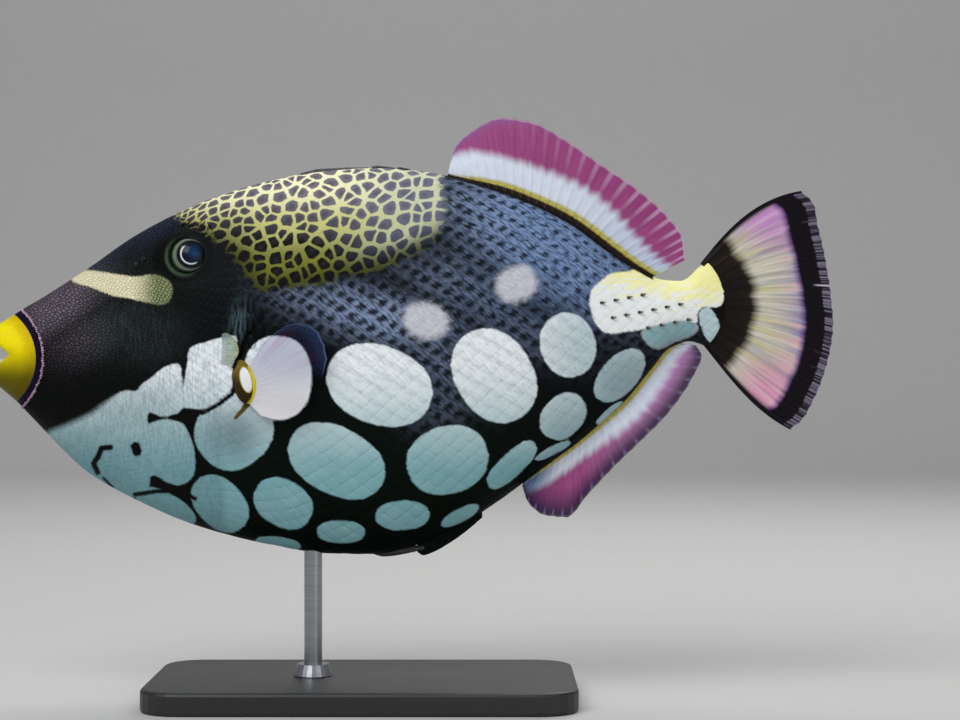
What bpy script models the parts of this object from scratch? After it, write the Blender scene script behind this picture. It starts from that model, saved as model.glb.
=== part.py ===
"""A life-size clown triggerfish, modelled as a still museum specimen on a plain display stand.

Metres, +Z up, standing on the floor at z = 0. The fish swims towards -X with its left side towards -Y.
Sizes are named in millimetres: along the fish from the middle of its length (positive towards the tail),
out from its middle plane, and up from a midline that runs back level from just under the middle of its mouth.
"""

import math

import bmesh
import bpy
from mathutils import Matrix, Vector

MM = 0.001
GAP = 0.3
MIDLINE_HEIGHT = 120.0
MIDDLE_ALONG = 0.2

# The outline seen from the side: (along, up) of the back and of the belly.
BACK_LINE = (
    (-148.2, 9.4), (-145.2, 12.4), (-139.2, 16.7), (-125.0, 25.7), (-114.0, 32.8),
    (-97.6, 44.2), (-82.7, 52.2), (-70.6, 57.4), (-50.1, 63.7), (-29.8, 67.6), (-12.0, 68.7),
    (6.7, 67.0), (27.0, 62.3), (53.6, 51.5), (79.5, 33.7), (90.9, 28.7), (96.2, 28.4), (103.3, 33.6),
    (109.0, 38.0), (114.0, 41.0),
)
BELLY_LINE = (
    (-148.2, -5.2), (-145.2, -7.6), (-138.8, -14.9), (-128.2, -26.6), (-113.6, -40.4),
    (-98.0, -49.3), (-76.7, -58.6), (-52.5, -65.1), (-28.0, -68.9), (-12.0, -69.2), (3.9, -65.6),
    (13.0, -61.4), (24.0, -55.6), (41.2, -43.5), (50.4, -36.8), (58.9, -30.6), (67.5, -23.4), (76.7, -15.0),
    (85.6, -4.2), (93.4, 4.4), (99.8, 6.3), (105.0, 4.6), (114.0, -1.0),
)
# The widest level of each section, and half the width there.
WAIST_LINE = (
    (-148.2, 1.8), (-125.0, -1.0), (-100.0, -4.0), (-80.0, -5.0), (-50.0, -3.0), (-20.0, -1.0), (10.0, 3.0),
    (40.0, 8.0), (60.0, 11.0), (80.0, 14.0), (95.0, 16.5), (114.0, 19.0),
)
HALF_WIDTHS = (
    (-148.2, 7.0), (-145.2, 8.8), (-139.0, 10.6), (-125.0, 13.8), (-107.0, 17.6), (-90.0, 20.6),
    (-70.0, 23.4), (-45.0, 25.6), (-20.0, 26.2), (5.0, 25.2), (30.0, 21.8), (55.0, 16.8), (75.0, 12.0),
    (90.0, 8.8), (100.0, 6.4), (108.0, 4.0), (114.0, 2.6),
)
BACK_ROUNDNESS = 1.9
BELLY_ROUNDNESS = 1.85
STATIONS = 40
HALF_RING = 14
END_CROWDING = 0.6
RIDGE_CROWDING = 0.45
ARC_SAMPLES = 160

# Where the body is parted: a slanting plane at the gills, one through the tail stalk, and an arc at each end.
GILL_CUT = (-60.5, 0.13)
STALK_CUT = (98.0, -0.3)
LIP_ARC = (-148.0, 0.4, 17.8)
TAIL_HUB = (90.5, 19.9)
TAIL_ROOT_RADIUS = 20.9

# Mouth: the gape seen from the side, the hollow behind it, and the rows of teeth. The sections of a tooth are
# given by their share of its height and of its width and depth.
GAPE = ((-140.2, 1.8), (-145.2, 6.0), (-155.0, 6.9), (-155.0, -3.0), (-145.2, -2.1))
GAPE_LEVEL = 1.8
LIP_ROLL_CENTRE = -140.9
LIP_ROLL_ARC = (6.9, 8.5)
LIP_ROLL_RADII = (1.2, 2.35)
LIP_ROLL_SPREAD = math.radians(88)
LIP_ROLL_STEPS = 12
LIP_ROLL_SIDES = 8
UPPER_ROLL = 7.7
LOWER_ROLL = -3.7
MOUTH_HOLLOW = ((-141.0, 1.8), (8.5, 4.2, 4.0))
TOOTH_ARC_CENTRE = -141.4
TOOTH_ARC = (5.6, 4.3)
TEETH_PER_JAW = 6
TOOTH_SPREAD = math.radians(66)
TOOTH_WIDTH = 1.9
TOOTH_DEPTH = 1.5
TOOTH_SECTIONS = ((0.0, 0.8, 1.0), (0.55, 1.0, 0.8), (1.0, 0.7, 0.22))
UPPER_TOOTH = (8.8, 3.2)
LOWER_TOOTH = (-5.0, 0.4)

# Eye: centre, its ball, how far it looks sideways rather than square off the skin, the fleshy mound round it,
# and the two nostrils in front.
EYE_ALONG = -76.8
EYE_UP = 36.4
EYE_RADIUS = 8.0
EYE_STANDS_OUT = 3.0
EYE_SIDEWAYS = 0.55
EYE_SEGMENTS = 20
ORBIT_RADIUS = 11.4
ORBIT_RISE = 1.25
ORBIT_SEGMENTS = 22
NOSTRILS = ((-92.6, 35.4), (-95.0, 33.4))
NOSTRIL_RADIUS = 0.65
NOSTRIL_RIM = 0.35
NOSTRIL_DEPTH = 1.4
NOSTRIL_CLEARANCE = 2.0
NOSTRIL_SIDES = 8

# Gill slit in front of the breast fin, and the enlarged scutes above it.
GILL_SLIT = (-57.3, 3.4)
GILL_SLIT_SIZE = (0.55, 4.3, 2.5)
GILL_SLIT_LEAN = math.radians(24)
GILL_SLIT_SEGMENTS = 14
SCUTES = ((-53.4, 6.4), (-50.6, 9.8), (-54.2, 12.2), (-50.8, 15.8), (-54.0, 18.6))
SCUTE_RADIUS = 2.3
SCUTE_TOP = 0.7
SCUTE_RISE = 0.8
SCUTE_SINK = 1.2
SCUTE_SIDES = 6

# Spinelets along the tail stalk: start, level and number of each row, then what all of them share.
SPINELET_ROWS = ((67.6, 20.0, 4), (71.4, 14.8, 6), (84.0, 11.3, 4))
SPINELET_PITCH = 4.8
SPINELET_CLIMB = 0.2
SPINELET_RADIUS = 0.75
SPINELET_TIP = 0.15
SPINELET_LENGTH = 1.1
SPINELET_SINK = 0.6
SPINELET_LEAN = 0.35
SPINELET_SIDES = 5
SPINELET_ROOM = 1.6

# Folded trigger spines along the nape: start, end, thickness at the root, depth of the axis under the back.
TRIGGER_SPINES = ((-38.5, -14.5, 1.7, 1.0), (-13.2, -5.0, 1.0, 0.5), (-4.2, 0.6, 0.7, 0.3))
TRIGGER_STEPS = 6
TRIGGER_HEEL = 0.55
TRIGGER_SWELL = 1.8
TRIGGER_TAPER = 0.72
TRIGGER_RISE = 0.3

# Soft fins: (along, up) of the root and of the outer margin, sampled at the same shares of the rays.
DORSAL_ROOT = (13.6, 86.0)
DORSAL_MARGIN = (
    (14.0, 67.4), (16.2, 75.6), (22.5, 82.2), (32.6, 86.8), (44.0, 85.0), (55.8, 78.6), (68.0, 70.2),
    (81.0, 61.6), (91.0, 53.0), (97.6, 43.6), (98.2, 35.6),
)
DORSAL_RAYS = 26
DORSAL_LEAN = math.radians(22)
DORSAL_WAVE = (1.9, 1.6)
ANAL_ROOT = (40.8, 95.6)
ANAL_MARGIN = (
    (40.2, -44.5), (41.8, -49.6), (48.0, -54.6), (55.4, -55.2), (63.4, -46.8), (72.4, -37.4), (82.0, -28.2),
    (91.4, -18.6), (99.2, -7.6), (103.4, 1.4), (101.8, 5.0),
)
ANAL_RAYS = 23
ANAL_LEAN = math.radians(-56)
ANAL_WAVE = (1.2, 1.2)
FIN_SINK = 0.9
FIN_ROOT_HALF = 1.5
FIN_BODY_HALF = 0.32
FIN_EDGE_HALF = 0.27
FIN_ROOT_SHARE = 0.22
RAY_RISE = 0.42
RAY_FADE = 0.6
FIN_ROWS = 5

# Tail fin: root and tip directions of its outermost rays below and above, how far these bow outwards between,
# and its reach from the hub.
TAIL_ROOT_ANGLES = (math.radians(-46.0), math.radians(48.0))
TAIL_TIP_ANGLES = (math.radians(-44.8), math.radians(39.5))
TAIL_BOW = math.radians(2.9)
TAIL_REACH = (
    (-1.0, 63.4), (-0.88, 64.4), (-0.72, 63.6), (-0.4, 62.2), (-0.1, 61.2), (0.13, 60.0), (0.33, 59.8),
    (0.5, 60.4), (0.7, 61.8), (0.88, 64.3), (1.0, 63.2),
)
TAIL_RAYS = 12
TAIL_COLUMNS_PER_RAY = 4
TAIL_ROWS = 7
TAIL_SWAY = 3.0
TAIL_ROOT_HALF = 2.4
TAIL_RIM_HALF = 0.5
TAIL_ROOT_SHARE = 0.3
TAIL_FORK = 0.45

# Breast fins: root on the flank and the margin measured from it, from the lowest ray to the highest.
BREAST_ROOT = (-54.8, -8.6)
BREAST_ROOT_ARC = (2.6, 6.6)
BREAST_ROOT_TURN = 1.3
BREAST_MARGIN = (
    (5.0, -10.6), (12.6, -12.3), (18.6, -10.0), (22.8, -4.6), (26.0, 2.0), (27.9, 9.2), (26.4, 15.6),
    (22.3, 20.3), (17.0, 21.2), (11.4, 18.9), (6.0, 14.6),
)
BREAST_RAYS = 14
BREAST_SPREAD = math.radians(15)
BREAST_CUP = 1.4
BREAST_ROWS = 5
BREAST_AWAY = 1.3
BREAST_ROOT_HALF = 0.9
BREAST_LOBE = (3.4, 2.9, 6.4)
BREAST_LOBE_BACK = 1.6

# Pelvic spine under the belly (start, end, thickness) with its rows of barbs, and the skin flap behind it.
PELVIC_SPINE = (-14.0, 5.4, 1.9)
PELVIC_LEVEL = 0.5
PELVIC_DROP = 1.9
PELVIC_STEPS = 6
PELVIC_BARBS = 6
PELVIC_BARB_SHARES = (0.28, 0.9)
PELVIC_BARB_TURN = math.radians(58)
PELVIC_BARB_LEAN = 0.9
PELVIC_BARB_RADII = (0.75, 0.15)
PELVIC_BARB_LENGTHS = (2.1, 1.5)
PELVIC_FLAP = ((7.2, -65.3), (10.5, -64.4), (15.0, -62.4), (20.0, -59.9), (26.0, -55.9))
PELVIC_FLAP_COLUMNS = 12
PELVIC_FLAP_ROWS = 3
PELVIC_FLAP_HALF = (0.45, 0.3)
PELVIC_FLAP_RIDGE = 0.15

# Stand.
BASE_CENTRE = -16.0
BASE_LENGTH = 150.0
BASE_WIDTH = 88.0
BASE_HEIGHT = 8.0
BASE_CORNER = 14.0
BASE_CORNER_STEPS = 6
BASE_EDGE = 1.2
ROD_ALONG = -34.0
ROD_RADIUS = 3.2
ROD_SIDES = 24
ROD_OVERLAP = 4.0
COLLAR_RADIUS = 7.0
COLLAR_TOP = 0.8
COLLAR_HEIGHT = 4.0

# Blocks that cut the body: how far they reach along and up, how far to each side, and the faces round an arc.
CUT_REACH = 200.0
CUT_DEPTH = 60.0
ARC_FACES = 96


def slopes(knots):
    """The slope at each knot that keeps the curve through them from overshooting."""
    secants = [(b[1] - a[1]) / (b[0] - a[0]) for a, b in zip(knots, knots[1:])]
    inner = [0.0 if p * q <= 0 else 2 * p * q / (p + q) for p, q in zip(secants, secants[1:])]
    return [secants[0], *inner, secants[-1]]


def curve_value(knots, x):
    """The smooth curve through the knots, read at x and held level past its ends."""
    x = min(max(x, knots[0][0]), knots[-1][0])
    index = max(i for i in range(len(knots) - 1) if knots[i][0] <= x)
    (x0, y0), (x1, y1) = knots[index], knots[index + 1]
    tangents = slopes(knots)
    width = x1 - x0
    t = (x - x0) / width
    return (
        y0 * (1 + 2 * t) * (1 - t) ** 2
        + tangents[index] * width * t * (1 - t) ** 2
        + y1 * t * t * (3 - 2 * t)
        + tangents[index + 1] * width * t * t * (t - 1)
    )


def eased(share, crowding):
    """A share from 0 to 1 whose even steps are drawn together at both ends."""
    return share + crowding * (0.5 - 0.5 * math.cos(math.pi * share) - share)


def half_section(x, count):
    """Points (out, up) of one flank at x, from back to belly, closer together at these two ridges."""
    waist, half = curve_value(WAIST_LINE, x), curve_value(HALF_WIDTHS, x)
    rise, drop = curve_value(BACK_LINE, x) - waist, waist - curve_value(BELLY_LINE, x)
    points = []
    for k in range(ARC_SAMPLES + 1):
        angle = math.pi * k / ARC_SAMPLES
        above = angle < math.pi / 2
        power = 2 / (BACK_ROUNDNESS if above else BELLY_ROUNDNESS)
        up = abs(math.cos(angle)) ** power
        level = waist + (rise * up if above else -drop * up)
        points.append((half * max(math.sin(angle), 0.0) ** power, level))
    lengths = [0.0]
    for a, b in zip(points, points[1:]):
        lengths.append(lengths[-1] + math.dist(a, b))
    wanted = [lengths[-1] * eased(k / count, RIDGE_CROWDING) for k in range(count + 1)]
    section, k = [], 0
    for at in wanted:
        while k < ARC_SAMPLES - 1 and lengths[k + 1] < at:
            k += 1
        share = min(max((at - lengths[k]) / (lengths[k + 1] - lengths[k]), 0.0), 1.0)
        section.append(tuple(p + share * (q - p) for p, q in zip(points[k], points[k + 1])))
    return section


def flank(x, up):
    """How far the skin stands out from the middle plane at (x, up), and its direction on the +Y side."""

    def out(x, up):
        waist = curve_value(WAIST_LINE, x)
        above = up > waist
        power = BACK_ROUNDNESS if above else BELLY_ROUNDNESS
        reach = curve_value(BACK_LINE if above else BELLY_LINE, x) - waist
        share = min(abs((up - waist) / reach), 1.0)
        return curve_value(HALF_WIDTHS, x) * (1 - share**power) ** (1 / power)

    step = 0.5
    slope_x = (out(x + step, up) - out(x - step, up)) / (2 * step)
    slope_z = (out(x, up + step) - out(x, up - step)) / (2 * step)
    return out(x, up), Vector((-slope_x, 1.0, -slope_z)).normalized()


def place(along, out, up):
    """A point of the model in metres, from sizes in millimetres measured on the fish."""
    return Vector(((along - MIDDLE_ALONG) * MM, out * MM, (MIDLINE_HEIGHT + up) * MM))


def material(name, colour, roughness, metallic=0.0):
    made = bpy.data.materials.get(name) or bpy.data.materials.new(name)
    made.use_nodes = True
    shader = made.node_tree.nodes["Principled BSDF"]
    shader.inputs["Base Color"].default_value = (*colour, 1.0)
    shader.inputs["Roughness"].default_value = roughness
    shader.inputs["Metallic"].default_value = metallic
    return made


def object_from(bm, name, collection):
    """An object from a bmesh, with its faces turned outwards."""
    bmesh.ops.recalc_face_normals(bm, faces=bm.faces)
    mesh = bpy.data.meshes.new(name)
    bm.to_mesh(mesh)
    bm.free()
    made = bpy.data.objects.new(name, mesh)
    collection.objects.link(made)
    return made


def settle(obj):
    """Replaces the object's mesh by what its modifiers make of it."""
    graph = bpy.context.evaluated_depsgraph_get()
    mesh = bpy.data.meshes.new_from_object(obj.evaluated_get(graph))
    old = obj.data
    obj.modifiers.clear()
    obj.data = mesh
    bpy.data.meshes.remove(old)


def combine(obj, other, operation):
    """Cuts, joins or keeps the common part of obj and another closed mesh, which is then removed."""
    modifier = obj.modifiers.new(operation, "BOOLEAN")
    modifier.operation = operation
    modifier.solver = "EXACT"
    modifier.object = other
    settle(obj)
    bpy.data.objects.remove(other)
    return obj


def fuse(obj, pieces):
    """Joins closed pieces to obj in one union and removes them."""
    group = bpy.data.collections.new("fused_pieces")
    bpy.context.scene.collection.children.link(group)
    for piece in pieces:
        for home in list(piece.users_collection):
            home.objects.unlink(piece)
        group.objects.link(piece)
    modifier = obj.modifiers.new("fuse", "BOOLEAN")
    modifier.operation = "UNION"
    modifier.solver = "EXACT"
    modifier.operand_type = "COLLECTION"
    modifier.collection = group
    settle(obj)
    for piece in pieces:
        bpy.data.objects.remove(piece)
    bpy.data.collections.remove(group)
    return obj


def keep_largest(obj):
    """Drops every closed surface of the object but the one that holds the most."""
    bm = bmesh.new()
    bm.from_mesh(obj.data)
    bmesh.ops.triangulate(bm, faces=bm.faces)
    left, groups = set(bm.faces), []
    while left:
        group, edge = set(), [left.pop()]
        while edge:
            face = edge.pop()
            group.add(face)
            near = {other for side in face.edges for other in side.link_faces} & left
            left -= near
            edge.extend(near)
        groups.append(group)

    def volume(group):
        corners = ([v.co for v in face.verts] for face in group)
        return abs(sum(a.dot(b.cross(c)) for a, b, c in corners))

    largest = max(groups, key=volume)
    drop = [face for group in groups if group is not largest for face in group]
    bmesh.ops.delete(bm, geom=drop, context="FACES")
    bm.to_mesh(obj.data)
    bm.free()
    return obj


def copy_of(obj, name, collection, shift=(0.0, 0.0, 0.0)):
    made = bpy.data.objects.new(name, obj.data.copy())
    made.data.transform(Matrix.Translation(Vector(shift) * MM))
    collection.objects.link(made)
    return made


def loft(rings, name, collection):
    """A closed mesh over like rings of points, with a flat end on the first and the last."""
    bm = bmesh.new()
    loops = [[bm.verts.new(point) for point in ring] for ring in rings]
    for a, b in zip(loops, loops[1:]):
        for k in range(len(a)):
            after = (k + 1) % len(a)
            bm.faces.new((a[k], a[after], b[after], b[k]))
    bm.faces.new(loops[0])
    bm.faces.new(loops[-1])
    return object_from(bm, name, collection)


def whole_body(collection):
    """The fish without its fins, from the lips to the root of the tail fin."""
    first, last = HALF_WIDTHS[0][0], HALF_WIDTHS[-1][0]
    rings = []
    for k in range(STATIONS + 1):
        x = first + (last - first) * eased(k / STATIONS, END_CROWDING)
        half = half_section(x, HALF_RING)
        right = [place(x, out, up) for out, up in half]
        left = [place(x, -out, up) for out, up in reversed(half[1:-1])]
        rings.append(right + left)
    return loft(rings, "whole_body", collection)


def box(name, collection, low, high):
    """A block between two corners given in fish millimetres."""
    bm = bmesh.new()
    bmesh.ops.create_cube(bm, size=1.0)
    a, b = place(*low), place(*high)
    shape = Matrix.Translation((a + b) / 2) @ Matrix.Diagonal((*(b - a), 1.0))
    bmesh.ops.transform(bm, verts=bm.verts, matrix=shape)
    return object_from(bm, name, collection)


def slab(name, collection, outline, half_depth):
    """A closed prism across the fish, from an outline of (along, up) points."""
    near = [place(along, -half_depth, up) for along, up in outline]
    far = [place(along, half_depth, up) for along, up in outline]
    return loft([near, far], name, collection)


def half_space(name, collection, cut, ahead, gap):
    """What lies ahead of, or behind, a slanting cut (along at the midline, lean)."""
    along, lean = cut
    side = -1 if ahead else 1
    shifted = along + side * gap / 2
    low, high = shifted - lean * CUT_REACH, shifted + lean * CUT_REACH
    away = side * 2 * CUT_REACH
    outline = [(low, -CUT_REACH), (high, CUT_REACH), (high + away, CUT_REACH), (low + away, -CUT_REACH)]
    return slab(name, collection, outline, CUT_DEPTH)


def drum(name, collection, centre, radius):
    """A cylinder across the fish."""
    turns = [2 * math.pi * k / ARC_FACES for k in range(ARC_FACES)]
    outline = [(centre[0] + radius * math.cos(turn), centre[1] + radius * math.sin(turn)) for turn in turns]
    return slab(name, collection, outline, CUT_DEPTH)


def ball(name, collection, centre, radii, segments=16, axis=Vector((0, 0, 1))):
    """A sphere or ellipsoid with its poles along axis."""
    bm = bmesh.new()
    bmesh.ops.create_uvsphere(bm, u_segments=segments, v_segments=10, radius=1.0)
    turn = axis.to_track_quat("Z", "Y").to_matrix().to_4x4()
    shape = Matrix.Translation(centre) @ turn @ Matrix.Diagonal((*[r * MM for r in radii], 1.0))
    bmesh.ops.transform(bm, verts=bm.verts, matrix=shape)
    return object_from(bm, name, collection)


def ring(name, collection, centre, axis, major, minor, around, section):
    """A torus round an axis."""
    turn = axis.to_track_quat("Z", "Y").to_matrix()
    bm = bmesh.new()
    loops = []
    for k in range(around):
        a = 2 * math.pi * k / around
        spoke = Vector((math.cos(a), math.sin(a), 0.0))
        loop = []
        for j in range(section):
            b = 2 * math.pi * j / section
            local = spoke * (major + minor * math.cos(b)) + Vector((0, 0, minor * math.sin(b)))
            loop.append(bm.verts.new(centre + turn @ local * MM))
        loops.append(loop)
    for k in range(around):
        a, b = loops[k], loops[(k + 1) % around]
        for j in range(section):
            after = (j + 1) % section
            bm.faces.new((a[j], a[after], b[after], b[j]))
    return object_from(bm, name, collection)


def cone(name, collection, root, axis, radius, tip_radius, length, sides, sink=0.0):
    """A tapered peg that starts sink under its root and ends length above it."""
    bm = bmesh.new()
    wide, narrow, depth = radius * MM, tip_radius * MM, (length + sink) * MM
    bmesh.ops.create_cone(bm, cap_ends=True, segments=sides, radius1=wide, radius2=narrow, depth=depth)
    turn = axis.to_track_quat("Z", "Y").to_matrix().to_4x4()
    lift = Matrix.Translation(axis.normalized() * (length - sink) / 2 * MM)
    bmesh.ops.transform(bm, verts=bm.verts, matrix=Matrix.Translation(root) @ lift @ turn)
    return object_from(bm, name, collection)


def spindle(name, collection, points, radii, sides=8):
    """A tapered rod with round sections along a row of points that runs mostly along X."""
    rings = []
    for point, radius in zip(points, radii):
        turns = [2 * math.pi * k / sides for k in range(sides)]
        rings.append([point + Vector((0, math.cos(t), math.sin(t))) * radius * MM for t in turns])
    return loft(rings, name, collection)


def membrane(name, collection, columns, rows, mid_point, half_thickness):
    """A thin closed vane over a grid: mid_point(s, v) in metres, half_thickness(column, v) in millimetres.

    s runs from 0 to 1 across the rays and v from 0 at the root to 1 at the margin. Both faces are split into
    triangles alike.
    """
    grid = [[mid_point(i / columns, j / rows) for j in range(rows + 1)] for i in range(columns + 1)]
    bm = bmesh.new()
    faces = {1: [], -1: []}
    for i in range(columns + 1):
        line = {1: [], -1: []}
        for j in range(rows + 1):
            across = grid[min(i + 1, columns)][j] - grid[max(i - 1, 0)][j]
            along = grid[i][min(j + 1, rows)] - grid[i][max(j - 1, 0)]
            normal = across.cross(along).normalized()
            for side in (1, -1):
                offset = normal * side * half_thickness(i, j / rows) * MM
                line[side].append(bm.verts.new(grid[i][j] + offset))
        for side in (1, -1):
            faces[side].append(line[side])
    for side in (1, -1):
        sheet = faces[side]
        for i in range(columns):
            for j in range(rows):
                bm.faces.new((sheet[i][j], sheet[i + 1][j], sheet[i + 1][j + 1]))
                bm.faces.new((sheet[i][j], sheet[i + 1][j + 1], sheet[i][j + 1]))
    rim = [(i, 0) for i in range(columns)] + [(columns, j) for j in range(rows)]
    rim += [(i, rows) for i in range(columns, 0, -1)] + [(0, j) for j in range(rows, 0, -1)]
    for (i, j), (p, q) in zip(rim, rim[1:] + rim[:1]):
        a, b, c, d = faces[1][i][j], faces[1][p][q], faces[-1][p][q], faces[-1][i][j]
        bm.faces.new((a, b, c))
        bm.faces.new((a, c, d))
    return object_from(bm, name, collection)


def eye_frame(side):
    """Centre of the eyeball and the way it looks, on the side of -1 (left) or 1 (right)."""
    surface, normal = on_flank(EYE_ALONG, EYE_UP, side)
    look = normal.lerp(Vector((0, side, 0)), EYE_SIDEWAYS).normalized()
    return surface - look * (EYE_RADIUS - EYE_STANDS_OUT) * MM, look


def on_flank(along, up, side):
    """A point on the skin and the outward direction there."""
    out, normal = flank(along, up)
    return place(along, side * out, up), Vector((normal.x, side * normal.y, normal.z))


def mouth_hollow(collection):
    (along, up), radii = MOUTH_HOLLOW
    return ball("hollow", collection, place(along, 0.0, up), radii)


def make_head(body, nodes, cutters):
    """The head between the lips and the gills, with sockets, orbit rims, nostrils and the mouth's back."""
    head = copy_of(body, "head", nodes)
    combine(head, half_space("ahead_of_gills", cutters, GILL_CUT, True, GAP), "INTERSECT")
    rims = []
    for side in (-1, 1):
        centre, look = eye_frame(side)
        mound = (ORBIT_RADIUS, ORBIT_RADIUS, EYE_RADIUS - EYE_STANDS_OUT + ORBIT_RISE)
        rims.append(ball(f"orbit_{side}", cutters, centre, mound, ORBIT_SEGMENTS, look))
        for number, (along, up) in enumerate(NOSTRILS):
            point, normal = on_flank(along, up, side)
            middle = NOSTRIL_RADIUS + NOSTRIL_RIM
            name = f"nostril_{side}_{number}"
            rims.append(ring(name, cutters, point, normal, middle, NOSTRIL_RIM, NOSTRIL_SIDES, 5))
    fuse(head, rims)
    for side in (-1, 1):
        centre, look = eye_frame(side)
        socket = [EYE_RADIUS + GAP] * 3
        combine(head, ball("socket", cutters, centre, socket, EYE_SEGMENTS, look), "DIFFERENCE")
        for along, up in NOSTRILS:
            point, normal = on_flank(along, up, side)
            shape = (NOSTRIL_RADIUS, NOSTRIL_RADIUS, NOSTRIL_CLEARANCE, NOSTRIL_SIDES, NOSTRIL_DEPTH)
            combine(head, cone("pit", cutters, point, normal, *shape), "DIFFERENCE")
    combine(head, drum("lip_space", cutters, LIP_ARC[:2], LIP_ARC[2] + GAP), "DIFFERENCE")
    combine(head, mouth_hollow(cutters), "DIFFERENCE")
    return keep_largest(head)


def tooth(name, collection, angle, root, tip):
    """One chisel-edged tooth on the arc of the jaw, from its root level to its cutting edge."""
    reach_x, reach_y = TOOTH_ARC
    along = TOOTH_ARC_CENTRE - reach_x * math.cos(angle)
    out = reach_y * math.sin(angle)
    facing = Vector((-math.cos(angle), math.sin(angle), 0.0))
    side = Vector((facing.y, -facing.x, 0.0))
    rings = []
    for share, wide, deep in TOOTH_SECTIONS:
        middle = place(along, out, root + (tip - root) * share)
        across = side * TOOTH_WIDTH * wide / 2 * MM
        through = facing * TOOTH_DEPTH * deep / 2 * MM
        corners = ((-1, -1), (1, -1), (1, 1), (-1, 1))
        rings.append([middle + across * a + through * b for a, b in corners])
    return loft(rings, name, collection)


def lip_roll(name, collection, rise):
    """The thick edge of one lip, round the front from corner to corner; rise is its level in front."""
    reach_x, reach_y = LIP_ROLL_ARC
    thin, thick = LIP_ROLL_RADII
    turns = [2 * math.pi * k / LIP_ROLL_SIDES for k in range(LIP_ROLL_SIDES)]
    rings = []
    for k in range(LIP_ROLL_STEPS + 1):
        angle = LIP_ROLL_SPREAD * (2 * k / LIP_ROLL_STEPS - 1)
        front, out = math.cos(angle), math.sin(angle)
        level = GAPE_LEVEL + (rise - GAPE_LEVEL) * front
        centre = place(LIP_ROLL_CENTRE - reach_x * front, reach_y * out, level)
        outward = Vector((-reach_y * front, reach_x * out, 0.0)).normalized()
        radius = (thin + (thick - thin) * front) * MM
        rings.append([centre + (outward * math.cos(t) + Vector((0, 0, math.sin(t)))) * radius for t in turns])
    return loft(rings, name, collection)


def make_lips(body, nodes, cutters):
    """Upper and lower lip round the open mouth, each with its row of teeth."""
    for name, low, high, levels, roll in (
        ("upper_lip", GAPE_LEVEL + GAP / 2, 60.0, UPPER_TOOTH, UPPER_ROLL),
        ("lower_lip", -60.0, GAPE_LEVEL - GAP / 2, LOWER_TOOTH, LOWER_ROLL),
    ):
        lip = copy_of(body, name, nodes)
        combine(lip, drum("lip_reach", cutters, LIP_ARC[:2], LIP_ARC[2]), "INTERSECT")
        combine(lip, slab("gape", cutters, GAPE, 40.0), "DIFFERENCE")
        fuse(lip, [lip_roll("roll", cutters, roll)])
        combine(lip, box("lip_half", cutters, (-170, -40, low), (-110, 40, high)), "INTERSECT")
        combine(lip, mouth_hollow(cutters), "DIFFERENCE")
        turns = [TOOTH_SPREAD * (2 * k / (TEETH_PER_JAW - 1) - 1) for k in range(TEETH_PER_JAW)]
        fuse(lip, [tooth(f"tooth_{k}", cutters, turn, *levels) for k, turn in enumerate(turns)])
        keep_largest(lip)


def trigger_spine(name, collection, spine, clearance=0.0):
    """One dorsal spine folded flat along the back; clearance makes it fatter, to cut its bed."""
    start, end, radius, depth = spine
    points, radii = [], []
    for k in range(TRIGGER_STEPS + 1):
        share = k / TRIGGER_STEPS
        along = start - clearance + (end - start + 2 * clearance) * share
        points.append(place(along, 0.0, curve_value(BACK_LINE, along) - depth * (1 - TRIGGER_RISE * share)))
        taper = min(1.0, TRIGGER_HEEL + TRIGGER_SWELL * share) * (1 - TRIGGER_TAPER * share)
        radii.append(radius * taper + clearance)
    return spindle(name, collection, points, radii)


def make_trunk(body, nodes, cutters):
    """The trunk from the gills to the tail stalk, with beds for the folded spines, gill slits and scutes."""
    trunk = copy_of(body, "trunk", nodes)
    combine(trunk, half_space("behind_gills", cutters, GILL_CUT, False, GAP), "INTERSECT")
    combine(trunk, half_space("ahead_of_stalk", cutters, STALK_CUT, True, GAP), "INTERSECT")
    for number, spine in enumerate(TRIGGER_SPINES):
        combine(trunk, trigger_spine(f"bed_{number}", cutters, spine, GAP), "DIFFERENCE")
    plates = []
    for side in (-1, 1):
        for number, (along, up) in enumerate(SCUTES):
            root, normal = on_flank(along, up, side)
            name, top = f"scute_{side}_{number}", SCUTE_RADIUS * SCUTE_TOP
            plate = cone(name, cutters, root, normal, SCUTE_RADIUS, top, SCUTE_RISE, SCUTE_SIDES, SCUTE_SINK)
            plates.append(plate)
    spines = spinelets(cutters, lambda along, up: along < STALK_CUT[0] + STALK_CUT[1] * up - SPINELET_ROOM)
    fuse(trunk, plates + spines)
    for side in (-1, 1):
        root, normal = on_flank(*GILL_SLIT, side)
        wide, tall, deep = GILL_SLIT_SIZE
        slit = ball("gill_slit", cutters, Vector((0, 0, 0)), (wide, deep, tall), GILL_SLIT_SEGMENTS)
        slit.data.transform(Matrix.Translation(root) @ Matrix.Rotation(GILL_SLIT_LEAN, 4, "Y"))
        combine(trunk, slit, "DIFFERENCE")
    return keep_largest(trunk)


def spinelets(cutters, wanted):
    """The small backward-leaning spines in rows on both sides of the tail stalk, where wanted(along, up)."""
    made = []
    for side in (-1, 1):
        for start, up, count in SPINELET_ROWS:
            for k in range(count):
                along = start + SPINELET_PITCH * k
                level = up + SPINELET_CLIMB * (along - start)
                if not wanted(along, level):
                    continue
                root, normal = on_flank(along, level, side)
                lean = (normal + Vector((SPINELET_LEAN, 0, 0))).normalized()
                shape = (SPINELET_RADIUS, SPINELET_TIP, SPINELET_LENGTH, SPINELET_SIDES, SPINELET_SINK)
                made.append(cone(f"spinelet_{side}_{len(made)}", cutters, root, lean, *shape))
    return made


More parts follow.
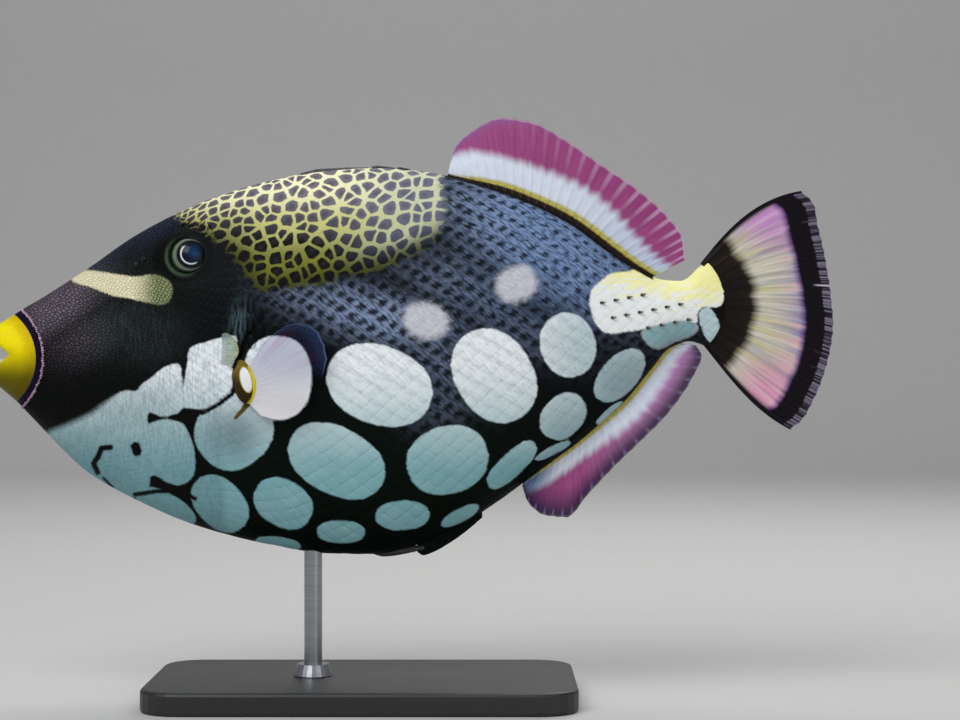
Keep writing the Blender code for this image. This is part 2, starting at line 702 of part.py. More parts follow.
def make_stalk(body, nodes, cutters):
    """The tail stalk with its spinelets, ending in the arc that carries the tail fin."""
    stalk = copy_of(body, "tail_stalk", nodes)
    combine(stalk, half_space("behind_trunk", cutters, STALK_CUT, False, GAP), "INTERSECT")
    combine(stalk, drum("tail_arc", cutters, TAIL_HUB, TAIL_ROOT_RADIUS), "INTERSECT")
    spines = spinelets(cutters, lambda along, up: along > STALK_CUT[0] + STALK_CUT[1] * up + SPINELET_ROOM)
    fuse(stalk, spines)
    return keep_largest(stalk)


def make_eyes(nodes):
    for side, name in ((-1, "eye_left"), (1, "eye_right")):
        centre, look = eye_frame(side)
        ball(name, nodes, centre, [EYE_RADIUS] * 3, EYE_SEGMENTS, look)


def ray_thickness(column, v, root_half):
    """Half the thickness of a soft fin: a stout root, then a thin web with a ridge along each ray."""
    web = FIN_BODY_HALF + (FIN_EDGE_HALF - FIN_BODY_HALF) * v
    root = (root_half - web) * max(0.0, 1 - v / FIN_ROOT_SHARE) ** 1.5
    ridge = RAY_RISE * (1 - RAY_FADE * v) if column % 2 else 0.0
    return web + root + ridge


def margin_curves(margin):
    """A margin's points as two curves over the share of the rays, along and up."""
    shares = [k / (len(margin) - 1) for k in range(len(margin))]
    return [[(share, point[axis]) for share, point in zip(shares, margin)] for axis in (0, 1)]


def soft_fin(name, nodes, root_line, root_span, margin, rays, lean, wave, direction):
    """A fin along the back (direction 1) or belly (-1), bent to one side and rippled along its margin."""
    margin_along, margin_up = margin_curves(margin)
    ripple, turns = wave

    def mid_point(s, v):
        root_x = root_span[0] + (root_span[1] - root_span[0]) * s
        root_z = curve_value(root_line, root_x) - direction * FIN_SINK
        tip = Vector((curve_value(margin_along, s), curve_value(margin_up, s)))
        reach = tip - Vector((root_x, root_z))
        bend = lean * v
        out = reach.length * (1 - math.cos(bend)) / lean
        sway = ripple * v * v * math.sin(2 * math.pi * turns * s)
        return place(root_x + reach.x * v, out + sway, root_z + reach.y * v)

    def half(i, v):
        return ray_thickness(i, v, FIN_ROOT_HALF)

    return membrane(name, nodes, 2 * rays, FIN_ROWS, mid_point, half)


def make_soft_fins(body, nodes, cutters):
    """The second dorsal fin and the anal fin, with their roots cut to lie along the body."""
    shape = (DORSAL_ROOT, DORSAL_MARGIN, DORSAL_RAYS, DORSAL_LEAN, DORSAL_WAVE)
    dorsal = soft_fin("soft_dorsal_fin", nodes, BACK_LINE, *shape, 1)
    combine(dorsal, copy_of(body, "back", cutters, (0, 0, GAP)), "DIFFERENCE")
    keep_largest(dorsal)
    shape = (ANAL_ROOT, ANAL_MARGIN, ANAL_RAYS, ANAL_LEAN, ANAL_WAVE)
    anal = soft_fin("anal_fin", nodes, BELLY_LINE, *shape, -1)
    combine(anal, copy_of(body, "keel", cutters, (0, 0, -GAP)), "DIFFERENCE")
    keep_largest(anal)


def tail_half_thickness(column, v, columns):
    """Half the thickness of the tail fin: each ray is one ridge near the root and forks into two."""
    s = 2 * column / columns - 1
    web = FIN_BODY_HALF + (FIN_EDGE_HALF - FIN_BODY_HALF) * v
    thickest = TAIL_ROOT_HALF * math.sqrt(max(1 - s * s, 0.0)) + TAIL_RIM_HALF
    root = (thickest - web) * max(0.0, 1 - v / TAIL_ROOT_SHARE) ** 1.5
    place_in_ray = column % TAIL_COLUMNS_PER_RAY
    on_ridge = place_in_ray in (1, 3) if v > TAIL_FORK else place_in_ray == 2
    return web + root + (RAY_RISE * (1 - RAY_FADE * v) if on_ridge else 0.0)


def make_tail_fin(nodes):
    columns = TAIL_RAYS * TAIL_COLUMNS_PER_RAY

    def mid_point(share, v):
        s = 2 * share - 1
        reach = curve_value(TAIL_REACH, s)
        radius = TAIL_ROOT_RADIUS + GAP + (reach - TAIL_ROOT_RADIUS - GAP) * v
        root = TAIL_ROOT_ANGLES[0] + (TAIL_ROOT_ANGLES[1] - TAIL_ROOT_ANGLES[0]) * share
        tip = TAIL_TIP_ANGLES[0] + (TAIL_TIP_ANGLES[1] - TAIL_TIP_ANGLES[0]) * share
        angle = root + (tip - root) * v**1.4 + TAIL_BOW * s**3 * 4 * v * (1 - v)
        sway = TAIL_SWAY * v * v * (1.0 - 0.8 * s * s)
        return place(TAIL_HUB[0] + radius * math.cos(angle), sway, TAIL_HUB[1] + radius * math.sin(angle))

    return membrane(
        "tail_fin", nodes, columns, TAIL_ROWS, mid_point, lambda i, v: tail_half_thickness(i, v, columns)
    )


def make_breast_fins(body, nodes, cutters):
    """The two pectoral fins: a fleshy lobe on the flank and a fan of rays a little away from it."""
    deep, tall = BREAST_ROOT_ARC
    margin_along, margin_up = margin_curves(BREAST_MARGIN)
    for side, name in ((-1, "breast_fin_left"), (1, "breast_fin_right")):
        root_out, _ = flank(*BREAST_ROOT)

        def mid_point(share, v, side=side, root_out=root_out):
            turn = BREAST_ROOT_TURN * (2 * share - 1)
            root = Vector((deep * math.cos(turn), tall * math.sin(turn)))
            reach = Vector((curve_value(margin_along, share), curve_value(margin_up, share))) - root
            spread = reach.length * v * math.tan(BREAST_SPREAD) - BREAST_CUP * v * math.cos(turn)
            flat = root + reach * v
            out = side * (root_out + BREAST_AWAY + spread)
            return place(BREAST_ROOT[0] + flat.x, out, BREAST_ROOT[1] + flat.y)

        def half(i, v):
            return ray_thickness(i, v, BREAST_ROOT_HALF)

        fin = membrane(name, nodes, 2 * BREAST_RAYS, BREAST_ROWS, mid_point, half)
        lobe_at = place(BREAST_ROOT[0] + BREAST_LOBE_BACK, side * root_out, BREAST_ROOT[1])
        fuse(fin, [ball("lobe", cutters, lobe_at, BREAST_LOBE)])
        combine(fin, copy_of(body, "flank", cutters, (0, side * GAP, 0)), "DIFFERENCE")
        keep_largest(fin)


def make_pelvic_spine(body, nodes, cutters):
    """The rough spine that ends the pelvis, with rows of barbs, and the low flap of skin behind it."""
    start, end, radius = PELVIC_SPINE

    def axis_point(t):
        along = start + (end - start) * t
        return place(along, 0.0, curve_value(BELLY_LINE, along) + PELVIC_LEVEL - PELVIC_DROP * t * t)

    shares = [k / PELVIC_STEPS for k in range(PELVIC_STEPS + 1)]
    radii = [radius * min(1.0, 0.5 + 2.2 * t) * (1 - 0.6 * t * t) for t in shares]
    spine = spindle("pelvic_spine", nodes, [axis_point(t) for t in shares], radii)
    first, last = PELVIC_BARB_SHARES
    longest, shortest = PELVIC_BARB_LENGTHS
    barbs = []
    for row in (-1, 0, 1):
        turn = PELVIC_BARB_TURN * row
        outward = Vector((PELVIC_BARB_LEAN, math.sin(turn), -math.cos(turn))).normalized()
        for k in range(PELVIC_BARBS):
            t = first + (last - first) * k / (PELVIC_BARBS - 1)
            shape = (*PELVIC_BARB_RADII, longest + (shortest - longest) * t, 5)
            barbs.append(cone(f"barb_{row}_{k}", cutters, axis_point(t), outward, *shape))
    fuse(spine, barbs)
    combine(spine, copy_of(body, "keel", cutters, (0, 0, -GAP)), "DIFFERENCE")
    keep_largest(spine)

    def mid_point(s, v):
        along = PELVIC_FLAP[0][0] + (PELVIC_FLAP[-1][0] - PELVIC_FLAP[0][0]) * s
        root = curve_value(BELLY_LINE, along) + FIN_SINK
        return place(along, 0.0, root + (curve_value(PELVIC_FLAP, along) - root) * v)

    def half(i, v):
        root, edge = PELVIC_FLAP_HALF
        return root + (edge - root) * v + PELVIC_FLAP_RIDGE * (i % 2)

    flap = membrane("pelvic_flap", nodes, PELVIC_FLAP_COLUMNS, PELVIC_FLAP_ROWS, mid_point, half)
    combine(flap, copy_of(body, "keel", cutters, (0, 0, -GAP)), "DIFFERENCE")
    keep_largest(flap)


def make_stand(body, nodes, cutters):
    """A flat base with rounded corners and one rod with a collar, which meets the belly."""
    outline = []
    for quarter in range(4):
        corner_x = BASE_CENTRE + (BASE_LENGTH / 2 - BASE_CORNER) * (1 if quarter in (0, 3) else -1)
        corner_y = (BASE_WIDTH / 2 - BASE_CORNER) * (1 if quarter in (0, 1) else -1)
        for k in range(BASE_CORNER_STEPS + 1):
            turn = math.pi / 2 * (quarter + k / BASE_CORNER_STEPS)
            outline.append((corner_x + BASE_CORNER * math.cos(turn), corner_y + BASE_CORNER * math.sin(turn)))
    floor = -MIDLINE_HEIGHT
    rings = [[place(x, y, floor) for x, y in outline], [place(x, y, floor + BASE_HEIGHT) for x, y in outline]]
    base = loft(rings, "stand_base", nodes)
    edge = base.modifiers.new("rounded_edges", "BEVEL")
    edge.width = BASE_EDGE * MM
    edge.segments = 2
    edge.limit_method = "ANGLE"

    foot_level = floor + BASE_HEIGHT + GAP
    foot, upright = place(ROD_ALONG, 0.0, foot_level), Vector((0, 0, 1))
    rod_length = curve_value(BELLY_LINE, ROD_ALONG) + ROD_OVERLAP - foot_level
    rod = cone("stand_rod", nodes, foot, upright, ROD_RADIUS, ROD_RADIUS, rod_length, ROD_SIDES)
    collar_shape = (COLLAR_RADIUS, COLLAR_RADIUS * COLLAR_TOP, COLLAR_HEIGHT, ROD_SIDES)
    fuse(rod, [cone("collar", cutters, foot, upright, *collar_shape)])
    combine(rod, copy_of(body, "belly", cutters, (0, 0, -GAP)), "DIFFERENCE")
    keep_largest(rod)


MATERIALS = {
    "skin": ((0.06, 0.06, 0.08), 0.42, 0.0),
    "lip": ((0.85, 0.62, 0.03), 0.4, 0.0),
    "fin": ((0.78, 0.62, 0.74), 0.45, 0.0),
    "eye": ((0.05, 0.09, 0.11), 0.1, 0.0),
    "spine": ((0.12, 0.11, 0.12), 0.5, 0.0),
    "base": ((0.05, 0.05, 0.055), 0.5, 0.0),
    "rod": ((0.6, 0.6, 0.62), 0.3, 1.0),
}
NODE_MATERIALS = {
    "upper_lip": "lip",
    "lower_lip": "lip",
    "eye_left": "eye",
    "eye_right": "eye",
    "soft_dorsal_fin": "fin",
    "anal_fin": "fin",
    "tail_fin": "fin",
    "breast_fin_left": "fin",
    "breast_fin_right": "fin",
    "dorsal_spine_1": "spine",
    "dorsal_spine_2": "spine",
    "dorsal_spine_3": "spine",
    "pelvic_spine": "spine",
    "stand_base": "base",
    "stand_rod": "rod",
}


def finish_nodes(nodes):
    """Gives each node its material and smooth shading with crisp edges."""
    for obj in nodes.objects:
        name = NODE_MATERIALS.get(obj.name, "skin")
        obj.data.materials.clear()
        obj.data.materials.append(material(name, *MATERIALS[name]))
        obj.data.shade_smooth()
        obj.data.set_sharp_from_angle(angle=math.radians(40))


def main():
    for obj in list(bpy.data.objects):
        bpy.data.objects.remove(obj)
    nodes = bpy.data.collections.new("clown_triggerfish")
    cutters = bpy.data.collections.new("cutters")
    for collection in (nodes, cutters):
        bpy.context.scene.collection.children.link(collection)
    body = whole_body(cutters)
    body.hide_render = True
    body.display_type = "WIRE"
    make_head(body, nodes, cutters)
    make_lips(body, nodes, cutters)
    make_trunk(body, nodes, cutters)
    make_stalk(body, nodes, cutters)
    make_eyes(nodes)
    for number, spine in enumerate(TRIGGER_SPINES, start=1):
        trigger_spine(f"dorsal_spine_{number}", nodes, spine)
    make_soft_fins(body, nodes, cutters)
    make_tail_fin(nodes)
    make_breast_fins(body, nodes, cutters)
    make_pelvic_spine(body, nodes, cutters)
    make_stand(body, nodes, cutters)
    finish_nodes(nodes)


main()
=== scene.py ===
"""The finish of a life-size clown triggerfish on a display stand, dressed round the solids of its frame.

Sizes are in millimetres on the fish unless a name says otherwise: along it from the middle of its length
(positive towards the tail), out from its middle plane, and up from its midline. The left side looks to -Y.
"""

import math

import bpy
import numpy as np
from bpy.props import FloatProperty, FloatVectorProperty, IntProperty, PointerProperty
from bpy.types import Operator, Panel, PropertyGroup
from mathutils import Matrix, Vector


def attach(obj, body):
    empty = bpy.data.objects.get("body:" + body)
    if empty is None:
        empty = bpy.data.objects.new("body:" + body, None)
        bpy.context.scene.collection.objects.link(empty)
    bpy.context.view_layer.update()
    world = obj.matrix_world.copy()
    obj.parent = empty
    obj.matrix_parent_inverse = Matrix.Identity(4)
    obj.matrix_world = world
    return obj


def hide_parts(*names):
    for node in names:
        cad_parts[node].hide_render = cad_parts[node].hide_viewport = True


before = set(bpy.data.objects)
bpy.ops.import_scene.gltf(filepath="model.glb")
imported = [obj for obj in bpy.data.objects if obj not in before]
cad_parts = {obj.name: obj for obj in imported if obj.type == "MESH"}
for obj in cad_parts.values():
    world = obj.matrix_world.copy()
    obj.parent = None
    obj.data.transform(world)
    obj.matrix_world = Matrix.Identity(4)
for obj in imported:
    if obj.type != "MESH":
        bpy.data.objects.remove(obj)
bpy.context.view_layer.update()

bl_info = {
    "name": "Clown triggerfish model",
    "version": (1, 0, 0),
    "blender": (4, 5, 0),
    "location": "View3D > Sidebar > Triggerfish",
    "description": "Skin, scales, fins, eyes and display stand of a life-size clown triggerfish",
    "category": "Add Mesh",
}

MM = 0.001
MIDLINE_HEIGHT = 120.0
MIDDLE_ALONG = 0.2
BODY = "root"
SIDES = (-1, 1)
SEED = 11

# The outline seen from the side, the widest level of each section and half the width there, as in the solids.
BACK_LINE = (
    (-148.2, 9.4), (-145.2, 12.4), (-139.2, 16.7), (-125.0, 25.7), (-114.0, 32.8), (-97.6, 44.2),
    (-82.7, 52.2), (-70.6, 57.4), (-50.1, 63.7), (-29.8, 67.6), (-12.0, 68.7), (6.7, 67.0), (27.0, 62.3),
    (53.6, 51.5), (79.5, 33.7), (90.9, 28.7), (96.2, 28.4), (103.3, 33.6), (109.0, 38.0), (114.0, 41.0),
)
BELLY_LINE = (
    (-148.2, -5.2), (-145.2, -7.6), (-138.8, -14.9), (-128.2, -26.6), (-113.6, -40.4), (-98.0, -49.3),
    (-76.7, -58.6), (-52.5, -65.1), (-28.0, -68.9), (-12.0, -69.2), (3.9, -65.6), (13.0, -61.4),
    (24.0, -55.6), (41.2, -43.5), (50.4, -36.8), (58.9, -30.6), (67.5, -23.4), (76.7, -15.0), (85.6, -4.2),
    (93.4, 4.4), (99.8, 6.3), (105.0, 4.6), (114.0, -1.0),
)
WAIST_LINE = (
    (-148.2, 1.8), (-125.0, -1.0), (-100.0, -4.0), (-80.0, -5.0), (-50.0, -3.0), (-20.0, -1.0), (10.0, 3.0),
    (40.0, 8.0), (60.0, 11.0), (80.0, 14.0), (95.0, 16.5), (114.0, 19.0),
)
HALF_WIDTHS = (
    (-148.2, 7.0), (-145.2, 8.8), (-139.0, 10.6), (-125.0, 13.8), (-107.0, 17.6), (-90.0, 20.6),
    (-70.0, 23.4), (-45.0, 25.6), (-20.0, 26.2), (5.0, 25.2), (30.0, 21.8), (55.0, 16.8), (75.0, 12.0),
    (90.0, 8.8), (100.0, 6.4), (108.0, 4.0), (114.0, 2.6),
)
BACK_ROUNDNESS = 1.9
BELLY_ROUNDNESS = 1.85

# Mouth: the roll of the lips from their corners, 0, to the front, 1, by its middle's place along, its level
# in the upper and the lower lip, and its radius; where the head's skin takes over; the edge of the yellow;
# the teeth, with each section by its share of the height, of the width and of the depth.
LIP_ROLL = (
    (0.0, -139.2, 1.8, 1.8, 1.0), (0.12, -140.0, 3.0, 0.65, 1.1), (0.3, -141.9, 4.8, -1.05, 1.2),
    (0.65, -145.0, 7.6, -3.6, 1.6), (1.0, -148.2, 8.0, -4.0, 1.9),
)
LIP_SPREAD = 8.5
GAPE_LEVEL = 1.8
LIPS_END = -136.6
LIP_EDGE = (-148.0, 0.4, 17.8)
TOOTH_ARC = (-141.4, 5.6, 4.3)
TEETH_PER_JAW = 6
TOOTH_SPREAD = math.radians(66)
TOOTH_SIZE = (1.9, 1.5)
UPPER_TOOTH = (8.8, 3.2)
LOWER_TOOTH = (-5.0, 0.4)
TOOTH_PROFILE = (
    (0.0, 0.8, 1.0), (0.3, 0.92, 0.96), (0.55, 1.0, 0.8), (0.75, 0.98, 0.56), (0.9, 0.86, 0.34),
    (0.97, 0.7, 0.22), (1.0, 0.5, 0.1),
)
BEAD_PROFILE = ((0.44, -0.4), (0.44, -0.05), (0.36, 0.16), (0.2, 0.27), (0.05, 0.3))
BEAD_RING = 2.75
BEAD_PITCH = 0.9

# Eye, nostrils and gills. Each ring of a nostril has its radius, height, painted shade and painted highlight,
# and each ring of a scute its radius, height and share of a scale's pale rim.
EYE_PLACE = (-76.8, 36.4)
EYE_STANDS_OUT = 3.0
EYE_SIDEWAYS = 0.55
PUPIL_LEAN = 0.27
RING_LEAN = 0.15
# Radius of the painted highlight arc in the pupil.
HIGHLIGHT_ARC_RADIUS = 3.55
ORBIT_EDGE = 6.6
ORBIT_REACH = 12.6
ORBIT_HEIGHT = 5.15
ORBIT_SEAM = 8.4
ORBIT_BEAD = (0.3, 0.6)
SCALES_FROM_EYE = 9.0
NOSTRILS = ((-92.6, 35.4), (-95.0, 33.4))
NOSTRIL_PROFILE = (
    (1.2, -0.9, 0.0, 0.0), (1.0, -0.3, 0.0, 0.0), (0.86, 0.02, 0.0, 0.0), (0.7, 0.16, 0.0, 0.05),
    (0.54, 0.2, 0.0, 0.16), (0.4, 0.1, 0.2, 0.05), (0.34, -0.3, 1.0, 0.0), (0.28, -0.6, 1.0, 0.0),
    (0.14, -0.7, 1.0, 0.0),
)
NOSTRIL_SIDES = 20
GILL_SLIT = ((-60.0, -3.0), (-57.6, 2.4), (-55.4, 7.6), (-54.2, 10.6))
SCUTES = ((-53.4, 6.4), (-50.6, 9.8), (-54.2, 12.2), (-50.8, 15.8), (-54.0, 18.6))
SCUTE_RADIUS = 2.3
SCUTE_PROFILE = (
    (1.7, -1.0, 1.0), (1.66, 0.0, 1.0), (1.45, 0.25, 0.9), (1.0, 0.4, 0.6), (0.55, 0.48, 0.3),
    (0.15, 0.5, 0.0),
)
SCUTE_SIDES = 14
GILL_SLIT_DEPTH = 1.7
GILL_SLIT_HALF = 0.75
GILL_FLAP = ((-64.0, 8.8), (-64.5, -0.8), 7.0)

# Small thorns on the tail stalk: start of each row, its level and count; and each ring of a thorn by its
# place along from the root, its height and its radius.
THORN_ROWS = ((67.6, 20.0, 4), (71.4, 14.8, 6), (84.0, 11.3, 4))
THORN_PITCH = 4.8
THORN_RISE = 0.2
THORN_PROFILE = ((0.0, -0.6, 0.62), (0.1, 0.0, 0.56), (0.45, 0.4, 0.42), (0.95, 0.7, 0.26), (1.5, 0.85, 0.08))
THORN_SIDES = 8

# Folded dorsal spines: start, end, thickness at the root, depth of the axis under the back line; and the
# depth and the half width of the bed that they lie in.
DORSAL_SPINES = ((-38.5, -14.5, 1.7, 1.0), (-13.2, -5.0, 1.0, 0.5), (-4.2, 0.6, 0.7, 0.3))
SPINE_BED = (1.5, 1.7)

# Fins: root span, margin, rays, lean in degrees and ripple.
DORSAL_ROOT = (13.6, 86.0)
DORSAL_MARGIN = (
    (14.0, 67.4), (16.2, 75.6), (22.5, 82.2), (32.6, 86.8), (44.0, 85.0), (55.8, 78.6), (68.0, 70.2),
    (81.0, 61.6), (91.0, 53.0), (97.6, 43.6), (98.2, 35.6),
)
DORSAL_RAYS = 26
DORSAL_LEAN = math.radians(22)
DORSAL_WAVE = (1.9, 1.6)
ANAL_ROOT = (40.8, 95.6)
ANAL_MARGIN = (
    (40.2, -44.5), (41.8, -49.6), (48.0, -54.6), (55.4, -55.2), (63.4, -46.8), (72.4, -37.4), (82.0, -28.2),
    (91.4, -18.6), (99.2, -7.6), (103.4, 1.4), (101.8, 5.0),
)
ANAL_RAYS = 23
ANAL_LEAN = math.radians(-56)
ANAL_WAVE = (1.2, 1.2)
FIN_SINK = 0.9
TAIL_HUB = (90.5, 19.9)
TAIL_ROOT_RADIUS = 20.9
TAIL_ROOT_ANGLES = (math.radians(-46.0), math.radians(48.0))
TAIL_TIP_ANGLES = (math.radians(-44.8), math.radians(39.5))
TAIL_BOW = math.radians(2.9)
TAIL_REACH = (
    (-1.0, 63.4), (-0.88, 64.4), (-0.72, 63.6), (-0.4, 62.2), (-0.1, 61.2), (0.13, 60.0), (0.33, 59.8),
    (0.5, 60.4), (0.7, 61.8), (0.88, 64.3), (1.0, 63.2),
)
TAIL_RAYS = 12
TAIL_SWAY = 3.0
BREAST_ROOT = (-54.8, -8.6)
BREAST_ROOT_ARC = (2.6, 6.6)
BREAST_ROOT_TURN = 1.3
BREAST_MARGIN = (
    (5.0, -10.6), (12.6, -12.3), (18.6, -10.0), (22.8, -4.6), (26.0, 2.0), (27.9, 9.2), (26.4, 15.6),
    (22.3, 20.3), (17.0, 21.2), (11.4, 18.9), (6.0, 14.6),
)
BREAST_RAYS = 14
BREAST_SPREAD = math.radians(15)
BREAST_CUP = 1.4
BREAST_LOBE = (4.6, 2.9, 6.6)
PELVIC_SPINE = (-14.0, 5.4, 1.9)
PELVIC_FLAP = ((3.0, -68.2), (5.0, -69.3), (9.0, -68.0), (14.0, -65.2), (20.0, -61.0), (26.0, -55.9))

# Half the spacing of the scales across a row, from the mouth to the tail; how much longer they are than high;
# where the head's plainer ones end; the corners of a scale; and how pointed it is.
SCALE_SIZES = (
    (-148.2, 0.56), (-140.0, 0.62), (-125.0, 0.75), (-105.0, 0.9), (-85.0, 1.12), (-68.0, 1.5),
    (-55.0, 1.95), (-40.0, 2.4), (-20.0, 2.7), (10.0, 2.85), (45.0, 2.85), (65.0, 2.6), (85.0, 2.1),
    (100.0, 1.7), (114.0, 1.3),
)
SCALE_LENGTH = 1.32
HEAD_END = -60.0
HEAD_SIDES = 8
FLANK_SIDES = 12
LOZENGE = 1.3

# The bake's picture: where the body starts and how much it takes, along and round; the left side's shift; and
# the body's start and length. On the unrolled body the left flank lies well apart from the right one. Last
# comes the distance that stands for well outside a marking.
BAKE_ALONG = (0.02, 0.96)
BAKE_ROUND = (0.01, 0.47)
BAKE_LEFT = 0.5
BAKE_BODY = (-149.0, 264.0)
LEFT_SHIFT = 400.0
OUTSIDE = 9.0

# Markings, drawn on the middle plane as they look from beside the fish at this distance from it.
DRAWN_FROM = 804.7
DRAWN_ALONG = 25.2
# Round spots: centre along and up, half length, half height, tilt in degrees, and 2 for an ellipse or more
# for a squarer one.
SPOTS = (
    (-10.5, -8.9, 19.2, 13.9, -20, 2.15), (-25.7, -35.9, 18.1, 11.8, -27, 2.2),
    (30.3, -5.6, 17.6, 13.6, -57, 2.15), (13.7, -35.6, 14.6, 12.0, 16, 2.15),
    (56.5, 5.3, 11.6, 9.8, -74, 2.05), (74.9, -5.6, 11.3, 6.4, 48, 2.15),
    (54.8, -20.1, 9.1, 7.0, 47, 2.25), (36.6, -37.3, 11.2, 4.2, 44, 2.4),
    (51.2, -32.3, 7.0, 1.5, 27, 2.3), (71.4, -19.0, 6.1, 1.5, 40, 2.3), (-2.3, -55.3, 9.6, 5.2, 3, 2.2),
    (18.2, -55.4, 7.4, 2.4, 27, 2.2), (-24.2, -61.2, 8.5, 4.0, -1, 2.2),
    (-44.7, -51.0, 10.9, 8.2, -30, 2.25), (-67.2, -51.2, 11.6, 8.2, -46, 2.2),
    (-62.2, -25.4, 14.0, 12.9, 40, 2.3), (-46.6, -65.6, 8.1, 2.6, -7, 2.2),
    (-86.5, -52.5, 11.8, 5.0, -29, 2.2), (107.2, 11.9, 7.0, 3.3, -70, 2.4),
)
BREAST_SPOT = (-46.8, -6.4, 12.3, 15.0, 0, 2.25)
HAZY_SPOTS = ((6.0, 14.0, 8.4, 6.6, -14, 2.0), (38.2, 27.0, 7.6, 6.2, 20, 2.3))
CHEEK = (
    (-134.0, -30.0), (-128.2, -25.9), (-121.4, -23.1), (-113.6, -19.5), (-108.6, -16.0), (-103.3, -11.9),
    (-100.1, -10.8), (-97.1, -11.0), (-95.0, -8.7), (-91.2, -6.0), (-87.7, -3.0), (-83.1, -1.3),
    (-81.3, -2.1), (-80.8, -5.7), (-80.2, -9.9), (-79.5, -5.7), (-78.8, -1.1), (-77.7, 4.3), (-72.1, 6.4),
    (-65.8, 8.2), (-61.4, 8.2), (-61.8, 2.8), (-62.5, -4.3), (-63.2, -10.3), (-67.8, -14.2),
    (-73.1, -17.4), (-79.9, -17.0), (-82.4, -19.0), (-87.7, -20.1), (-90.2, -19.2), (-92.7, -18.8),
    (-92.8, -22.7), (-90.5, -21.8), (-86.6, -21.1), (-83.1, -21.7), (-80.2, -22.9), (-77.4, -28.4),
    (-76.0, -34.8), (-76.7, -41.2), (-81.3, -44.6), (-86.1, -43.5), (-89.3, -41.5), (-91.8, -41.4),
    (-92.4, -44.6), (-94.4, -47.2), (-98.0, -49.2), (-104.0, -54.0), (-122.0, -46.0),
)
STALK_TEAL = (
    (84.0, 11.0), (89.4, 12.6), (96.7, 13.9), (101.5, 13.0), (102.4, 10.6), (100.3, 8.6), (97.3, 7.4),
    (93.6, 6.1), (91.2, 4.7), (88.1, 4.0), (85.1, 5.5), (82.8, 9.0),
)
CHIN_STROKE = ((-106.1, -31.1), (-109.3, -31.4), (-110.5, -34.4), (-112.2, -36.9), (-110.7, -40.1))
CHIN_BLOB = ((-97.2, -30.8), (-96.7, -32.6))
CHIN_EDGE = ((-108.6, -42.2), (-105.4, -45.4))
CHEEK_LINE = ((-79.4, -18.9), (-73.2, -18.8), (-67.4, -15.6), (-62.8, -12.0), (-60.8, -8.0))
LOW_LINE = ((-97.5, -48.0), (-90.0, -46.8), (-82.0, -46.6), (-76.0, -49.4))
FIN_STEM = ((-55.9, -12.5), (-57.2, -15.5), (-59.2, -18.0), (-61.6, -20.6))
FIN_ROOT = (-58.8, -7.8, 4.0, 8.0, 12, 2.0)
FIN_OVAL = (-57.9, -7.0, 4.6, 1.9, -76, 2.0)
SADDLE = (
    (-84.1, 52.2), (-77.0, 47.9), (-69.2, 43.0), (-64.3, 38.3), (-60.3, 33.4), (-56.4, 28.0), (-52.2, 24.5),
    (-41.9, 25.4), (-31.2, 26.6), (-20.2, 29.8), (-11.0, 31.9), (-3.2, 34.8), (3.9, 38.3), (8.2, 42.6),
    (11.4, 46.9), (12.8, 52.5), (12.4, 58.6), (11.4, 64.6), (11.0, 74.5), (-38.7, 81.6), (-88.0, 60.3),
)
NET_CELLS = ((-88.0, 1.8), (-80.0, 2.5), (-70.0, 3.9), (-50.0, 4.7), (20.0, 5.1))
NET_LEVEL = 50.0
BAND = (
    (-120.0, 28.8), (-117.5, 31.1), (-114.7, 32.1), (-109.0, 31.4), (-103.7, 30.5), (-96.7, 29.7),
    (-92.3, 30.5), (-87.7, 29.8), (-84.5, 27.1), (-84.1, 24.0), (-85.4, 20.8), (-88.0, 19.7), (-92.3, 20.3),
    (-99.4, 22.0), (-105.8, 23.1), (-112.5, 25.8), (-117.5, 27.3),
)
STALK = (
    (64.3, 22.4), (65.7, 25.9), (68.9, 28.4), (71.0, 30.3), (74.2, 31.2), (78.8, 31.9), (85.6, 35.4),
    (96.2, 37.8), (104.4, 42.0), (109.0, 37.8), (110.8, 28.4), (112.2, 22.4), (110.0, 18.8), (104.4, 18.8),
    (102.6, 16.3), (101.9, 12.8), (96.2, 13.5), (89.1, 12.1), (82.0, 10.6), (78.8, 10.3), (74.5, 9.6),
    (69.2, 9.9), (66.0, 13.8), (64.4, 18.5),
)
# Where the dark ground is lit by pale rims: centre, half length, half height, tilt and strength.
BLOOMS = (
    (46.0, 45.0, 46.0, 19.0, -32, 1.0), (62.0, 24.0, 20.0, 10.0, -38, 0.6),
    (-12.0, 15.5, 32.0, 9.5, -14, 0.95), (10.0, 2.0, 20.0, 9.0, -50, 0.5),
    (40.0, 10.0, 24.0, 9.0, -20, 0.35), (20.0, 26.0, 26.0, 12.0, -20, 0.45),
    (12.0, -14.0, 10.0, 14.0, -60, 0.3),
)
MIST = ((-60.5, 13.0, 3.6, 8.0, -8, 0.8), (-58.5, 18.0, 3.4, 4.0, 0, 0.5))
# Painted shade over some pale spots and the cheek: centre, half length, half height, tilt and strength.
SPOT_SHADES = (
    (-62.0, -26.0, 10.0, 10.0, 0, 1.0), (-97.0, -15.0, 16.0, 9.0, 10, 0.45), (74.9, -5.6, 12.0, 8.0, 48, 0.6),
    (56.5, 5.3, 12.0, 11.0, 0, 0.3), (-112.0, -32.0, 14.0, 9.0, -20, 0.35), (54.8, -20.1, 10.0, 8.0, 47, 0.3),
)
# Painted sheen on the forehead's upper edge, and painted light on the snout: centre, half length, half
# height, tilt and strength.
BROW_SHEEN = ((-88.0, 50.0, 26.0, 5.5, 30, 1.0), (-104.0, 40.0, 16.0, 4.5, 38, 0.7))
FACE_LIGHT = (
    (-124.0, 20.0, 23.0, 8.0, 33, 1.0), (-108.0, 10.0, 20.0, 9.0, 20, 0.5),
    (-92.0, 8.0, 15.0, 10.0, 10, 0.35),
)


def paint(red, green, blue):
    """A colour as shaders take it, from its values between 0 and 255 on a screen."""
    shares = (red / 255, green / 255, blue / 255)
    return tuple(s / 12.92 if s < 0.04045 else ((s + 0.055) / 1.055) ** 2.4 for s in shares)


